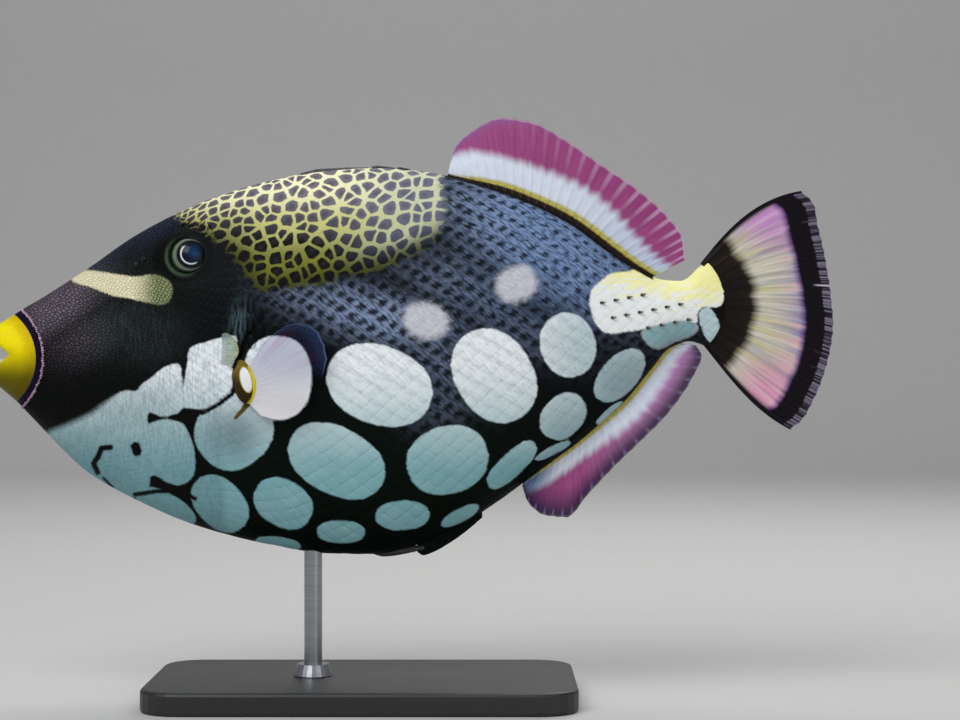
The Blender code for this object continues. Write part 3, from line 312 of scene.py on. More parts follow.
def length(description, default):
    name = description.split(",")[0]
    return FloatProperty(name=name, description=description, default=default, unit="LENGTH")


def power(name, description, default):
    return FloatProperty(name=name, description=description, default=default, unit="POWER")


def colour(description, red, green, blue):
    return FloatVectorProperty(
        name=description, description=description, default=paint(red, green, blue), subtype="COLOR", size=3
    )


class BodyLooks(PropertyGroup):
    """Sizes of the skin, the eyes and the scales."""

    skin_depth: length("Skin depth, under the outer face of the solids", 0.00034)
    scale_rise: length("Scale rise, of a flank scale over the skin", 0.00011)
    groove: FloatProperty(name="Groove", description="Share of a scale's place left as groove", default=0.02)
    eye_radius: length("Eyeball radius", 0.008)
    pupil_radius: length("Pupil radius", 0.0043)
    iris_radius: length("Iris radius, to the outer edge of its pale ring", 0.0062)


class BodyColours(PropertyGroup):
    """Colours of the head and body."""

    dark: colour("Dark ground", 2, 6, 8)
    belly: colour("Dark belly", 0, 10, 4)
    snout: colour("Snout", 124, 112, 128)
    bloom: colour("Pale rims on the back", 146, 174, 218)
    lilac: colour("Pale rims on the flank", 132, 148, 178)
    # The forehead's blue is a painted sheen.
    brow: colour("Blue of the forehead", 50, 60, 88)
    # The spots' two colours are painted light and shade: white where light falls from above, teal lower down
    # in shade.
    white: colour("Upper spots", 246, 252, 255)
    teal: colour("Lower spots", 134, 184, 190)
    net: colour("Net on the back", 255, 252, 206)
    cells: colour("Cells of the net", 122, 118, 130)
    band: colour("Cream band", 240, 234, 198)
    stalk_yellow: colour("Yellow of the tail stalk", 255, 250, 168)
    lip: colour("Lips", 246, 226, 2)
    # The lips' colour at their rear edge is painted shade.
    lip_painted_shade: colour("Lips at their rear edge", 196, 160, 4)
    ring: colour("Ring round the lips", 16, 4, 40)
    bead: colour("Beads round the lips", 206, 170, 196)
    throat: colour("Inside of the mouth", 58, 32, 30)
    teeth: colour("Teeth", 232, 228, 214)
    iris: colour("Iris ring", 122, 138, 120)
    pupil: colour("Pupil", 5, 14, 26)


class FinLooks(PropertyGroup):
    """Sizes and colours of the fins."""

    web: length("Web thickness, half of it", 0.00016)
    ray: length("Ray rise, over the web on each face", 0.00034)
    rows: IntProperty(name="Rows", description="Rows of faces from root to margin", default=40, min=8)
    white: colour("White of the back fins", 230, 236, 246)
    magenta: colour("Magenta of the back fins", 168, 62, 132)
    base: colour("Yellow line at the fin roots", 196, 186, 66)
    margin: colour("Pale margin", 205, 176, 205)
    cream: colour("Cream of the tail fin", 206, 202, 182)
    tail_dark: colour("Dark bands of the tail fin", 5, 3, 9)


class StandLooks(PropertyGroup):
    """Colours of the display stand."""

    base: colour("Painted base", 26, 26, 28)
    rod: colour("Steel rod", 178, 180, 184)


class StudioLooks(PropertyGroup):
    """Camera, lights and floor."""

    camera_along: length("Camera place along the fish", 0.025)
    camera_back: length("Camera distance, from the fish's middle plane", 0.8047)
    camera_height: length("Camera height", 0.12)
    lens: FloatProperty(name="Lens", description="Focal length in millimetres", default=85.0)
    sensor: FloatProperty(name="Sensor width", description="Sensor width in millimetres", default=36.0)
    floor: colour("Floor", 206, 206, 204)
    key: power("Key light", "Power of the main light", 9.5)
    fill: power("Fill light", "Power of the front light", 2.2)
    rear: power("Rear light", "Power of the light behind", 5.0)
    wall: power("Wall light", "Power of the light on the backdrop", 11.0)
    sky: FloatProperty(name="Sky", description="Strength of the light from all round", default=0.24)


class Curve:
    """The smooth curve through (position, value) knots that never overshoots them, level past its ends."""

    def __init__(self, knots):
        self.x, self.y = np.array(knots, float).T
        secants = np.diff(self.y) / np.diff(self.x)
        before, after = secants[:-1], secants[1:]
        turning = before * after <= 0
        total = np.where(turning, 1.0, before + after)
        inner = np.where(turning, 0.0, 2 * before * after / total)
        self.slope = np.concatenate([secants[:1], inner, secants[-1:]])

    def __call__(self, x):
        x = np.clip(x, self.x[0], self.x[-1])
        k = np.clip(np.searchsorted(self.x, x, side="right") - 1, 0, len(self.x) - 2)
        width = self.x[k + 1] - self.x[k]
        t = (x - self.x[k]) / width
        low = self.y[k] * (1 + 2 * t) * (1 - t) ** 2 + self.slope[k] * width * t * (1 - t) ** 2
        high = self.y[k + 1] * t * t * (3 - 2 * t) + self.slope[k + 1] * width * t * t * (t - 1)
        return low + high


BACK = Curve(BACK_LINE)
BELLY = Curve(BELLY_LINE)
WAIST = Curve(WAIST_LINE)
HALF = Curve(HALF_WIDTHS)
SCALE_SIZE = Curve(SCALE_SIZES)


def smooth_step(value, start, end):
    """0 before start, 1 after end, and an even slope between; start may be the higher."""
    t = np.clip((value - start) / (end - start), 0.0, 1.0)
    return t * t * (3 - 2 * t)


def unit(vectors):
    return vectors / np.maximum(np.linalg.norm(vectors, axis=-1, keepdims=True), 1e-9)


def to_model(points):
    """Points of the model in metres from (along, out, up) in millimetres."""
    return (np.asarray(points, float) + (-MIDDLE_ALONG, 0.0, MIDLINE_HEIGHT)) * MM


class Flank:
    """The body's surface by place along it and share of the half girth, 0 on the back and 1 on the belly."""

    def __init__(self, stations=526, samples=240):
        self.along = np.linspace(HALF_WIDTHS[0][0], HALF_WIDTHS[-1][0], stations)
        self.samples = samples
        angle = np.linspace(0.0, math.pi, 4 * samples + 1)
        above = angle < math.pi / 2
        power = 2 / np.where(above, BACK_ROUNDNESS, BELLY_ROUNDNESS)
        across = np.clip(np.sin(angle), 0.0, 1.0) ** power
        rise = np.abs(np.cos(angle)) ** power
        waist, half, back, belly = (line(self.along)[:, None] for line in (WAIST, HALF, BACK, BELLY))
        out = half * across
        up = waist + np.where(above, (back - waist) * rise, (belly - waist) * rise)
        steps = np.hypot(np.diff(out, axis=1), np.diff(up, axis=1))
        run = np.concatenate([np.zeros((stations, 1)), np.cumsum(steps, axis=1)], axis=1)
        self.girth = run[:, -1]
        self.waist_share = run[:, 2 * samples] / self.girth
        wanted = np.linspace(0.0, 1.0, samples + 1)
        self.out = np.stack([np.interp(wanted * r[-1], r, o) for r, o in zip(run, out)])
        self.up = np.stack([np.interp(wanted * r[-1], r, u) for r, u in zip(run, up)])

    def read(self, table, along, share):
        row = np.clip((along - self.along[0]) / (self.along[1] - self.along[0]), 0, len(self.along) - 1.001)
        column = np.clip(share * self.samples, 0, self.samples - 0.001)
        i, j = row.astype(int), column.astype(int)
        u, v = row - i, column - j
        near = table[i, j] * (1 - v) + table[i, j + 1] * v
        far = table[i + 1, j] * (1 - v) + table[i + 1, j + 1] * v
        return near * (1 - u) + far * u

    def point(self, along, share, side):
        """Points (along, out, up); a share past the back or the belly goes on down the other side."""
        along, share, side = np.broadcast_arrays(np.asarray(along, float), share, side)
        folded = np.abs(share)
        over = folded > 1
        folded = np.where(over, 2 - folded, folded)
        across = np.where((share < 0) ^ over, -1.0, 1.0) * side
        out = across * self.read(self.out, along, folded)
        return np.stack([along, out, self.read(self.up, along, folded)], axis=-1)

    def normal(self, along, share, side):
        step, slip = 0.5, 0.004
        down = self.point(along, share + slip, side) - self.point(along, share - slip, side)
        back = self.point(along + step, share, side) - self.point(along - step, share, side)
        return unit(np.cross(back, down) * np.broadcast_to(side, down.shape[:-1])[..., None])

    def reach(self, along, up):
        """How far the surface stands out from the middle plane."""
        waist = WAIST(along)
        above = up > waist
        power = np.where(above, BACK_ROUNDNESS, BELLY_ROUNDNESS)
        span = np.where(above, BACK(along), BELLY(along)) - waist
        share = np.clip(np.abs((up - waist) / span), 0.0, 1.0)
        return HALF(along) * (1 - share**power) ** (1 / power)

    def share_at(self, along, up):
        """The share of the half girth at a level."""
        row = self.read(self.up, np.full(self.samples + 1, float(along)), np.linspace(0, 1, self.samples + 1))
        return float(np.interp(-up, -row, np.linspace(0, 1, self.samples + 1)))

    def spot(self, along, up, side):
        """A point and its outward direction from a place seen from the side."""
        share = self.share_at(along, up)
        return self.point(along, share, side), self.normal(along, share, side)

    def girth_at(self, along):
        """The half girth, and the share of it that lies above the waist."""
        return np.interp(along, self.along, self.girth), np.interp(along, self.along, self.waist_share)

    def unwrapped(self, along, share, side):
        """Millimetres along the body and round it from the waist, the left flank set well apart."""
        girth, waist = self.girth_at(along)
        return np.stack([along, (share - waist) * girth + np.where(side < 0, LEFT_SHIFT, 0.0)], axis=-1)


FLANK = Flank()


def eye_frame(side):
    """Centre of the eyeball in millimetres, and the way it looks."""
    place, normal = FLANK.spot(*EYE_PLACE, side)
    look = unit(normal + (np.array([0.0, side, 0.0]) - normal) * EYE_SIDEWAYS)
    radius = bpy.context.scene.triggerfish_body.eye_radius / MM
    return place - look * (radius - EYE_STANDS_OUT), look


def orbit_height(height, distance):
    """The level over the eyeball's centre that the skin is drawn to, round the eye."""
    pull = 1 - smooth_step(distance, ORBIT_EDGE, ORBIT_REACH)
    rise, half = ORBIT_BEAD
    bead = rise * np.exp(-(((distance - ORBIT_EDGE - half) / half) ** 2))
    return height + pull * (ORBIT_HEIGHT - height) + bead


def from_axis(points, centre, axis):
    """Height of points over a centre, along an axis, and their distance from the axis."""
    rel = points - centre
    height = rel @ axis
    return height, np.linalg.norm(rel - height[:, None] * axis, axis=-1)


def line_distance(along, up, line):
    """Distance to a line of (along, up) points."""
    line = np.array(line, float)
    best = np.full(along.shape, 1e9)
    for start, end in zip(line[:-1], line[1:]):
        step = end - start
        u, v = along - start[0], up - start[1]
        t = np.clip((u * step[0] + v * step[1]) / (step @ step), 0.0, 1.0)
        best = np.minimum(best, np.hypot(u - t * step[0], v - t * step[1]))
    return best


def sculpted(points, side_of):
    """Draws the skin to the orbits, and sinks the gill slits and the bed of the dorsal spines."""
    points = points.copy()
    for side in SIDES:
        centre, look = eye_frame(side)
        near = (side_of == side) & (np.linalg.norm(points - centre, axis=-1) < 2 * ORBIT_REACH)
        height, distance = from_axis(points[near], centre, look)
        points[near] += (orbit_height(height, distance) - height)[:, None] * look
        flank = side_of == side
        distance = line_distance(points[flank, 0], points[flank, 2], GILL_SLIT)
        points[flank, 1] -= side * (GILL_SLIT_DEPTH * np.exp(-((distance / GILL_SLIT_HALF) ** 2)))
    start, end = DORSAL_SPINES[0][0] - 1.0, DORSAL_SPINES[-1][1] + 1.0
    along, out, up = points.T
    on_back = (up > WAIST(along)) & (along > start) & (along < end)
    deep, half = SPINE_BED
    depth = deep * np.interp(along, (start, start + 3, end - 3, end), (0, 1, 0.4, 0))
    points[:, 2] -= np.where(on_back, depth * np.exp(-((out / half) ** 2)), 0.0)
    return points


def drawn(points):
    """Where points look to be on the middle plane, which the markings are drawn on."""
    nearer = 1 / (1 - np.abs(points[:, 1]) / DRAWN_FROM)
    return DRAWN_ALONG + (points[:, 0] - DRAWN_ALONG) * nearer, points[:, 2] * nearer


def tilted(along, up, centre, degrees):
    """Places from a centre, along and across an axis tilted by some degrees."""
    turn = math.radians(degrees)
    x, z = along - centre[0], up - centre[1]
    return x * math.cos(turn) + z * math.sin(turn), z * math.cos(turn) - x * math.sin(turn)


def spot_distance(along, up, spot):
    """Distance to the edge of a round spot, below 0 inside."""
    *centre, long, high, tilt, square = spot
    u, v = tilted(along, up, centre, tilt)
    level = (np.abs(u / long) ** square + np.abs(v / high) ** square) ** (1 / square)
    return np.hypot(u, v) * (1 - 1 / np.maximum(level, 0.05))


def smooth_loop(outline, pieces=4):
    """A closed curve through the points of an outline."""
    p = np.array(outline, float)
    before, after, beyond = np.roll(p, 1, axis=0), np.roll(p, -1, axis=0), np.roll(p, -2, axis=0)
    rows = []
    for k in range(pieces):
        t = k / pieces
        rows.append(
            0.5 * (2 * p + (after - before) * t + (2 * before - 5 * p + 4 * after - beyond) * t * t
                   + (3 * p - before - 3 * after + beyond) * t**3)
        )
    return np.stack(rows, axis=1).reshape(-1, 2)


def patch_distance(along, up, outline, reach=6.0):
    """Distance to the smooth closed outline, below 0 inside, and at most reach."""
    loop = smooth_loop(outline)
    low, high = loop.min(axis=0) - reach, loop.max(axis=0) + reach
    near = (along > low[0]) & (along < high[0]) & (up > low[1]) & (up < high[1])
    x, z = along[near], up[near]
    inside = np.zeros(len(x), bool)
    for (ax, az), (bx, bz) in zip(loop, np.roll(loop, -1, axis=0)):
        if az != bz:
            inside ^= ((az > z) != (bz > z)) & (x < ax + (z - az) * (bx - ax) / (bz - az))
    distance = line_distance(x, z, np.vstack([loop, loop[:1]]))
    result = np.full(along.shape, reach)
    result[near] = np.minimum(np.where(inside, -distance, distance), reach)
    return result


def glow(along, up, blooms):
    """Soft patches, each falling off from its centre."""
    total = np.zeros(along.shape)
    for *centre, long, high, tilt, strength in blooms:
        u, v = tilted(along, up, centre, tilt)
        u, v = u / long, v / high
        total = np.maximum(total, strength * np.exp(-((u * u + v * v) ** 1.3)))
    return total


def lip_distance(along, up):
    """Distance to the round edge of the yellow lips, below 0 inside."""
    return np.hypot(along - LIP_EDGE[0], up - LIP_EDGE[1]) - LIP_EDGE[2]


def thorn_places():
    """(along, up) of each thorn."""
    return [
        (start + THORN_PITCH * k, level + THORN_RISE * THORN_PITCH * k)
        for start, level, count in THORN_ROWS
        for k in range(count)
    ]


def net_place(unwrapped):
    """Coordinates in which the cells of the net are all of one size, though they grow towards the tail."""
    cell = Curve(NET_CELLS)
    line = np.linspace(-160, 120, 561)
    run = np.concatenate([[0.0], np.cumsum(0.5 / cell(line[:-1] + 0.25))])
    left = unwrapped[:, 1] > LEFT_SHIFT / 2
    around = (unwrapped[:, 1] - np.where(left, LEFT_SHIFT, 0.0) + NET_LEVEL) / cell(unwrapped[:, 0])
    return np.stack([np.interp(unwrapped[:, 0], line, run), around, np.where(left, 50.0, 0.0)], axis=-1)


def markings(points, unwrapped):
    """The painted values of body points: mostly distances to the edge of a marking, below 0 inside it."""
    along, up = drawn(points)
    pale = patch_distance(along, up, CHEEK)
    for spot in (*SPOTS, BREAST_SPOT):
        pale = np.minimum(pale, spot_distance(along, up, spot))
    strokes = np.full(along.shape, OUTSIDE)
    for line, half in (
        (CHIN_STROKE, 1.0), (CHIN_BLOB, 1.7), (CHIN_EDGE, 0.5), (CHEEK_LINE, 0.85), (LOW_LINE, 0.8)
    ):
        strokes = np.minimum(strokes, line_distance(along, up, line) - half)
    stem = line_distance(along, up, FIN_STEM) - np.interp(up, (-20.6, -13.0), (0.55, 1.5))
    hazy = np.min([spot_distance(along, up, spot) for spot in HAZY_SPOTS], axis=0)
    dots = np.full(along.shape, OUTSIDE)
    near = (along > 55) & (along < 112)
    for x, z in thorn_places():
        dots[near] = np.minimum(dots[near], np.hypot(points[near, 0] - x - 0.5, points[near, 2] - z))
    by_dorsal = (points[:, 0] > 12.5) & (points[:, 0] < 87.0)
    return {
        "pale": np.maximum(pale, -strokes),
        "hazy": hazy,
        "saddle": patch_distance(along, up, SADDLE),
        "band": patch_distance(along, up, BAND),
        "stalk": patch_distance(along, up, STALK),
        "teal": patch_distance(along, up, STALK_TEAL),
        "lips": lip_distance(points[:, 0], points[:, 2]),
        "dots": dots,
        "bloom": glow(along, up, BLOOMS),
        "brow": glow(along, up, BROW_SHEEN),
        "face": glow(along, up, FACE_LIGHT),
        "mist": glow(along, up, MIST),
        "dim": glow(along, up, SPOT_SHADES),
        "stem": stem,
        "bed": np.where(by_dorsal, BACK(points[:, 0]) - points[:, 2], OUTSIDE),
        **flesh_marks(along, up),
        "place": np.stack([unwrapped[:, 0], unwrapped[:, 1], up], axis=-1),
        "netting": net_place(unwrapped),
    }


def marks_at(points, share, side):
    """The painted values of a small shape's points, all taken at one share of the half girth."""
    return markings(points, FLANK.unwrapped(points[:, 0], share, side))


def bake_corner(along, share, side):
    """Where the patches of what grows at a place lie in the bake's picture."""
    across = BAKE_ALONG[0] + BAKE_ALONG[1] * (along - BAKE_BODY[0]) / BAKE_BODY[1]
    level = BAKE_ROUND[0] + BAKE_ROUND[1] * share + (BAKE_LEFT if side < 0 else 0.0)
    return np.stack([across, level], axis=-1)


class Piece:
    """Gathers points, faces and painted values, and makes one mesh object of them."""

    def __init__(self, name):
        self.name = name
        self.points, self.faces, self.fields, self.patches = [], [], [], []
        self.count = 0

    def add(self, points, faces, fields=None, patch=None):
        """Adds a closed shape, with its faces turned outwards."""
        points = np.asarray(points, float).reshape(-1, 3)
        volume = 0.0
        for rows in faces:
            first = points[rows[:, 0]]
            for k in range(1, rows.shape[1] - 1):
                volume += np.einsum("ij,ij->", first, np.cross(points[rows[:, k]], points[rows[:, k + 1]]))
        turned = [rows[:, ::-1] if volume < 0 else rows for rows in faces]
        self.faces.extend(rows + self.count for rows in turned)
        self.points.append(points)
        self.fields.append((len(points), fields or {}))
        self.patches.append(np.zeros((len(points), 2)) if patch is None else patch)
        self.count += len(points)

    def finish(self, material, replaces=()):
        mesh = bpy.data.meshes.new(self.name)
        corners = np.concatenate([rows.ravel() for rows in self.faces])
        sizes = np.concatenate([np.full(len(rows), rows.shape[1]) for rows in self.faces])
        starts = np.concatenate([[0], np.cumsum(sizes)[:-1]])
        mesh.vertices.add(self.count)
        mesh.vertices.foreach_set("co", to_model(np.concatenate(self.points)).astype(np.float32).ravel())
        mesh.loops.add(len(corners))
        mesh.loops.foreach_set("vertex_index", corners.astype(np.int32))
        mesh.polygons.add(len(sizes))
        mesh.polygons.foreach_set("loop_start", starts.astype(np.int32))
        mesh.polygons.foreach_set("loop_total", sizes.astype(np.int32))
        mesh.update(calc_edges=True)
        self.paint_values(mesh)
        if any(np.any(patch) for patch in self.patches):
            layer = mesh.uv_layers.new(name="OFBake")
            layer.data.foreach_set("uv", np.concatenate(self.patches)[corners].astype(np.float32).ravel())
        mesh.shade_smooth()
        mesh.materials.append(material)
        obj = bpy.data.objects.new(self.name, mesh)
        bpy.context.scene.collection.objects.link(obj)
        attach(obj, BODY)
        if replaces:
            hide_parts(*replaces)
        return obj

    def paint_values(self, mesh):
        names = sorted({name for _, fields in self.fields for name in fields})
        for name in names:
            wide = any(np.ndim(fields.get(name, 0.0)) == 2 for _, fields in self.fields)
            parts = []
            for count, fields in self.fields:
                value = np.asarray(fields.get(name, 0.0), float)
                parts.append(np.broadcast_to(value, (count, 3) if wide else (count,)))
            data = np.concatenate(parts).astype(np.float32).ravel()
            layer = mesh.attributes.new(name, "FLOAT_VECTOR" if wide else "FLOAT", "POINT")
            layer.data.foreach_set("vector" if wide else "value", data)


def quads(rows, columns, around=False, start=0):
    """Faces of a grid of points, row by row; around joins each row's end to its start."""
    i, j = np.meshgrid(np.arange(rows - 1), np.arange(columns if around else columns - 1), indexing="ij")
    after = (j + 1) % columns
    return np.stack([i * columns + j, i * columns + after, (i + 1) * columns + after, (i + 1) * columns + j],
                    axis=-1).reshape(-1, 4) + start


def tube(rings):
    """Points and faces over like rings, with both ends closed."""
    rings = np.asarray(rings, float)
    rows, columns = rings.shape[:2]
    ends = np.stack([np.arange(columns), np.arange(columns)[::-1] + (rows - 1) * columns])
    return rings.reshape(-1, 3), [quads(rows, columns, around=True), ends[::-1, ::-1].copy()]


def full_turn(steps):
    """Angles evenly round a circle."""
    return np.linspace(0, 2 * math.pi, steps, endpoint=False)


def wheel(first, second, steps):
    """Spokes evenly round a circle, from the first direction on to the second."""
    turn = full_turn(steps)[:, None]
    return np.cos(turn) * first + np.sin(turn) * second


def lathe(centre, axis, profile, steps):
    """A turned shape from rows that start with a radius and a height, its ends closed."""
    side = unit(np.cross(axis, (1.0, 0.2, 0.1)))
    spokes = wheel(side, np.cross(axis, side), steps)
    return tube([centre + spokes * radius + axis * height for radius, height, *_ in profile])


class Term:
    """A shader socket; arithmetic on it adds the Math nodes."""

    def __init__(self, recipe, socket):
        self.recipe, self.socket = recipe, socket

    def maths(self, operation, first, second=0.0):
        return self.recipe.node("ShaderNodeMath", {"operation": operation}, {0: first, 1: second})

    def __add__(self, other):
        return self.maths("ADD", self, other)

    def __radd__(self, other):
        return self.maths("ADD", other, self)

    def __sub__(self, other):
        return self.maths("SUBTRACT", self, other)

    def __rsub__(self, other):
        return self.maths("SUBTRACT", other, self)

    def __mul__(self, other):
        return self.maths("MULTIPLY", self, other)

    def __truediv__(self, other):
        return self.maths("DIVIDE", self, other)

    def __abs__(self):
        return self.maths("ABSOLUTE", self)

    def least(self, other):
        return self.maths("MINIMUM", self, other)

    def most(self, other):
        return self.maths("MAXIMUM", self, other)

    def held(self):
        """The value held between 0 and 1."""
        return self.most(0.0).least(1.0)

    def sine(self):
        return self.maths("SINE", self)

    def rise(self, start, end):
        """0 before start, 1 after end, with an even slope between; start may be the higher."""
        return self.recipe.node(
            "ShaderNodeMapRange",
            {"interpolation_type": "SMOOTHSTEP"},
            {"Value": self, "From Min": start, "From Max": end},
        )


class Recipe:
    """One material, with its Principled shader's constants set as it is made."""

    def __init__(self, name, **constants):
        self.material = bpy.data.materials.new(name)
        self.material.use_nodes = True
        self.tree = self.material.node_tree
        self.shader = self.tree.nodes["Principled BSDF"]
        self.set(**constants)

    def set(self, **sockets):
        for name, value in sockets.items():
            self.put(self.shader.inputs[name.replace("_", " ").title().replace("Ior", "IOR")], value)

    def put(self, socket, value):
        if isinstance(value, Term):
            self.tree.links.new(value.socket, socket)
        elif socket.type == "RGBA":
            socket.default_value = (*value, 1.0)
        else:
            socket.default_value = value

    def node(self, kind, settings=None, sockets=None, output=0):
        made = self.tree.nodes.new(kind)
        for name, value in (settings or {}).items():
            setattr(made, name, value)
        for name, value in (sockets or {}).items():
            self.put(made.inputs[name], value)
        return Term(self, made.outputs[output])

    def value(self, name):
        return self.node("ShaderNodeAttribute", {"attribute_name": name}, output=2)

    def vector(self, name):
        return self.node("ShaderNodeAttribute", {"attribute_name": name}, output=1)

    def part(self, vector, axis):
        return self.node("ShaderNodeSeparateXYZ", {}, {0: vector}, output=axis)

    def stretched(self, vector, x, y, z):
        return self.node("ShaderNodeVectorMath", {"operation": "MULTIPLY"}, {0: vector, 1: (x, y, z)})

    def turned(self, vector, degrees, stretch):
        """The first two parts of a vector turned, the new first one stretched."""
        angle = math.radians(degrees)
        x, y = self.part(vector, 0), self.part(vector, 1)
        across = y * math.cos(angle) - x * math.sin(angle)
        return self.node(
            "ShaderNodeCombineXYZ", {}, {0: (x * math.cos(angle) + y * math.sin(angle)) * stretch, 1: across}
        )

    def noise(self, vector, scale, detail=3.0, roughness=0.55):
        sockets = {"Vector": vector, "Scale": scale, "Detail": detail, "Roughness": roughness}
        return self.node("ShaderNodeTexNoise", {}, sockets)

    def edges(self, vector, scale, randomness=1.0):
        """Distance to the nearest border between cells."""
        sockets = {"Vector": vector, "Scale": scale, "Randomness": randomness}
        settings = {"voronoi_dimensions": "2D", "feature": "DISTANCE_TO_EDGE"}
        return self.node("ShaderNodeTexVoronoi", settings, sockets)

    def grains(self, vector, scale):
        """Distance to the nearest cell's middle."""
        return self.node("ShaderNodeTexVoronoi", {}, {"Vector": vector, "Scale": scale})

    def blend(self, share, low, high):
        return self.node("ShaderNodeMix", {"data_type": "RGBA"}, {0: share, 6: low, 7: high}, output=2)

    def bumped(self, height, distance, strength=1.0):
        sockets = {"Height": height, "Distance": distance, "Strength": strength}
        self.set(normal=self.node("ShaderNodeBump", {}, sockets))


class FishRecipe(Recipe):
    """The material of skin and scales, with the patterns that the layers of its markings share."""

    def __init__(self, name):
        super().__init__(name, coat_weight=0.02, coat_roughness=0.3, specular_ior_level=0.07)
        self.shades = bpy.context.scene.triggerfish_colours
        self.place = self.vector("place")
        self.along, self.up = self.part(self.place, 0), self.part(self.place, 2)
        self.fine = self.noise(self.place, 1.3, 4.0)
        self.broad = self.noise(self.place, 0.09, 3.0)
        self.middling = self.noise(self.place, 0.4, 3.0)
        self.fibres = self.noise(self.turned(self.place, 44, 0.24), 1.3, 3.0)
        self.upright = self.noise(self.stretched(self.place, 1.0, 0.14, 0.0), 1.3, 2.0)
        wrinkles = self.noise(self.turned(self.place, 28, 0.5), 1.0, 2.5)
        cobbles = self.edges(self.turned(self.place, 28, 0.7), 0.9)
        self.face_relief = cobbles.rise(0.0, 0.3) * (0.4 + wrinkles)

    def frayed(self, name, fray):
        """The distance to a marking's edge, frayed along the fibres of the scales."""
        return self.value(name) + (self.fibres - 0.5) * fray

    def patchy(self, name, fray, patches):
        """The same, with the edge also broken into patches."""
        return self.frayed(name, fray) + (self.middling - 0.5) * patches


def ground_colour(r):
    """The dark ground of the body, with pale rims between its dots and strokes."""
    far_back = r.along.rise(12, 50) * r.up.rise(6, 24)
    rim, bloom = r.value("rim"), r.value("bloom")
    lit = rim - (0.52 - far_back * 0.14) + (r.fibres - 0.5) * 1.1 + (r.middling - 0.5) * 0.6
    rims = r.blend(far_back, r.shades.lilac, r.shades.bloom)
    rims = r.blend(r.fibres.rise(0.58, 0.4) * 0.62, rims, paint(52, 68, 102))
    shown = bloom * (lit.rise(-0.34, 0.36) * 0.9 + 0.1) * (0.55 + r.broad)
    ground = r.blend(r.up.rise(-2, -30), r.shades.dark, r.shades.belly)
    ground = r.blend(shown.least(1.0), ground, rims)
    return r.blend(bloom * far_back * (0.2 + rim * 0.2), ground, paint(44, 62, 100))


def head_colour(r):
    """The head: cobbled light on the snout and the forehead, upright streaks on the cheek."""
    face = r.value("face")
    snout_light = face * (0.16 + r.face_relief * 0.7 + (r.fine - 0.5) * 0.4)
    snout = r.blend(snout_light.held(), paint(4, 5, 5), r.shades.snout)
    cheek_light = face * (0.3 + r.upright.rise(0.4, 0.62) * 0.7)
    cheek = r.blend(cheek_light, paint(4, 6, 5), paint(52, 74, 70))
    head = r.blend(r.along.rise(-118, -98) * 0.85, snout, cheek)
    # Painted blue sheen on the forehead's bumps.
    return r.blend(r.value("brow") * (0.08 + r.face_relief * 0.6), head, r.shades.brow)


def net_colour(r):
    """The back's net: pale lines round dark cells, painted lighter upwards, painted shade towards its lower
    and front edge.
    """
    along, up, netting = r.along, r.up, r.vector("netting")
    flat, add = {"voronoi_dimensions": "2D"}, {"operation": "ADD"}
    warp = r.node("ShaderNodeTexNoise", {}, {"Vector": netting, "Scale": 1.3}, output=1)
    warped = r.node("ShaderNodeVectorMath", add, {0: netting, 1: r.stretched(warp, 0.3, 0.3, 0.0)})
    middle = r.node("ShaderNodeTexVoronoi", flat, {"Vector": warped, "Scale": 1.0, "Randomness": 0.82})
    edge = r.edges(warped, 1.0, 0.82) - (middle - 0.36).most(0.0) * 0.45
    line = (edge + (r.fine - 0.5) * 0.05 + (r.noise(netting, 0.9, 2.0) - 0.5) * 0.16).rise(0.15, 0.04)
    # Painted light from above: the lines go from olive low down to pale yellow at the top, and the cells
    # lighten upwards.
    high = up.rise(34, 64)
    yellow = r.blend(high, paint(116, 120, 36), r.shades.net)
    yellow = r.blend(high.rise(0.0, 0.5) * high.rise(1.0, 0.5) * 0.5, yellow, paint(206, 206, 100))
    yellow = r.blend(along.rise(-30, 4) * 0.75, yellow, paint(200, 206, 178))
    yellow = r.blend(r.fine.rise(0.4, 0.7) * 0.2, yellow, paint(170, 170, 100))
    cell_light = (high * 1.3 + along.rise(-60, 10) * 0.5 - 0.35).held()
    cell = r.blend(cell_light, paint(14, 14, 9), r.shades.cells)
    cell = r.blend(middle.rise(0.36, 0.08) * 0.4, cell, paint(44, 42, 48))
    cell = r.blend(along.rise(-30, 12) * 0.5, cell, paint(104, 112, 138))
    # Painted shade darkens the net towards its lower and its front edge.
    low_edge = r.value("saddle").rise(-10, -1) * up.rise(54, 38)
    net_painted_shade = low_edge.most(along.rise(-46, -66) * up.rise(56, 42) * 0.7)
    net = r.blend(line * (1 - net_painted_shade * 0.25), cell, yellow)
    return r.blend(net_painted_shade * 0.92, net, r.blend(line, paint(3, 5, 3), paint(66, 70, 16)))


def spot_colour(r):
    """Pale spots and cheek in painted light and shade: white above, teal below, with painted shade along the
    scales.
    """
    up, on_cheek = r.up, r.along.rise(-62, -66)
    # Painted light and shade: white where light falls from above, teal lower down and darker towards the
    # tail.
    painted_spot_light = up.rise(-44, 2) * (1 - r.along.rise(38, 74) * 0.55)
    white = r.blend((painted_spot_light + (r.broad - 0.5) * 0.25).held(), r.shades.teal, r.shades.white)
    # Painted shade in soft patches over some spots and the cheek.
    white = r.blend(r.value("dim") * 0.6, white, paint(52, 84, 100))
    # Painted shade in streaks along the scales, stronger higher up.
    painted_scale_shade = r.fibres.rise(0.46, 0.66) * (0.1 + up.rise(-30, 0) * 0.2)
    white = r.blend(painted_scale_shade, white, paint(140, 156, 170))
    # Painted shade on each scale away from its diagonal, on the upper spots.
    painted_scale_edge_shade = r.value("gleam").rise(0.6, 0.1) * up.rise(-40, -6)
    white = r.blend(painted_scale_edge_shade * 0.22, white, paint(150, 166, 180))
    white = r.blend(on_cheek * r.upright.rise(0.42, 0.62) * 0.3, white, paint(96, 116, 132))
    # Painted shade on the lower cheek.
    return r.blend(on_cheek * up.rise(-4, -30) * 0.38, white, paint(96, 140, 146))


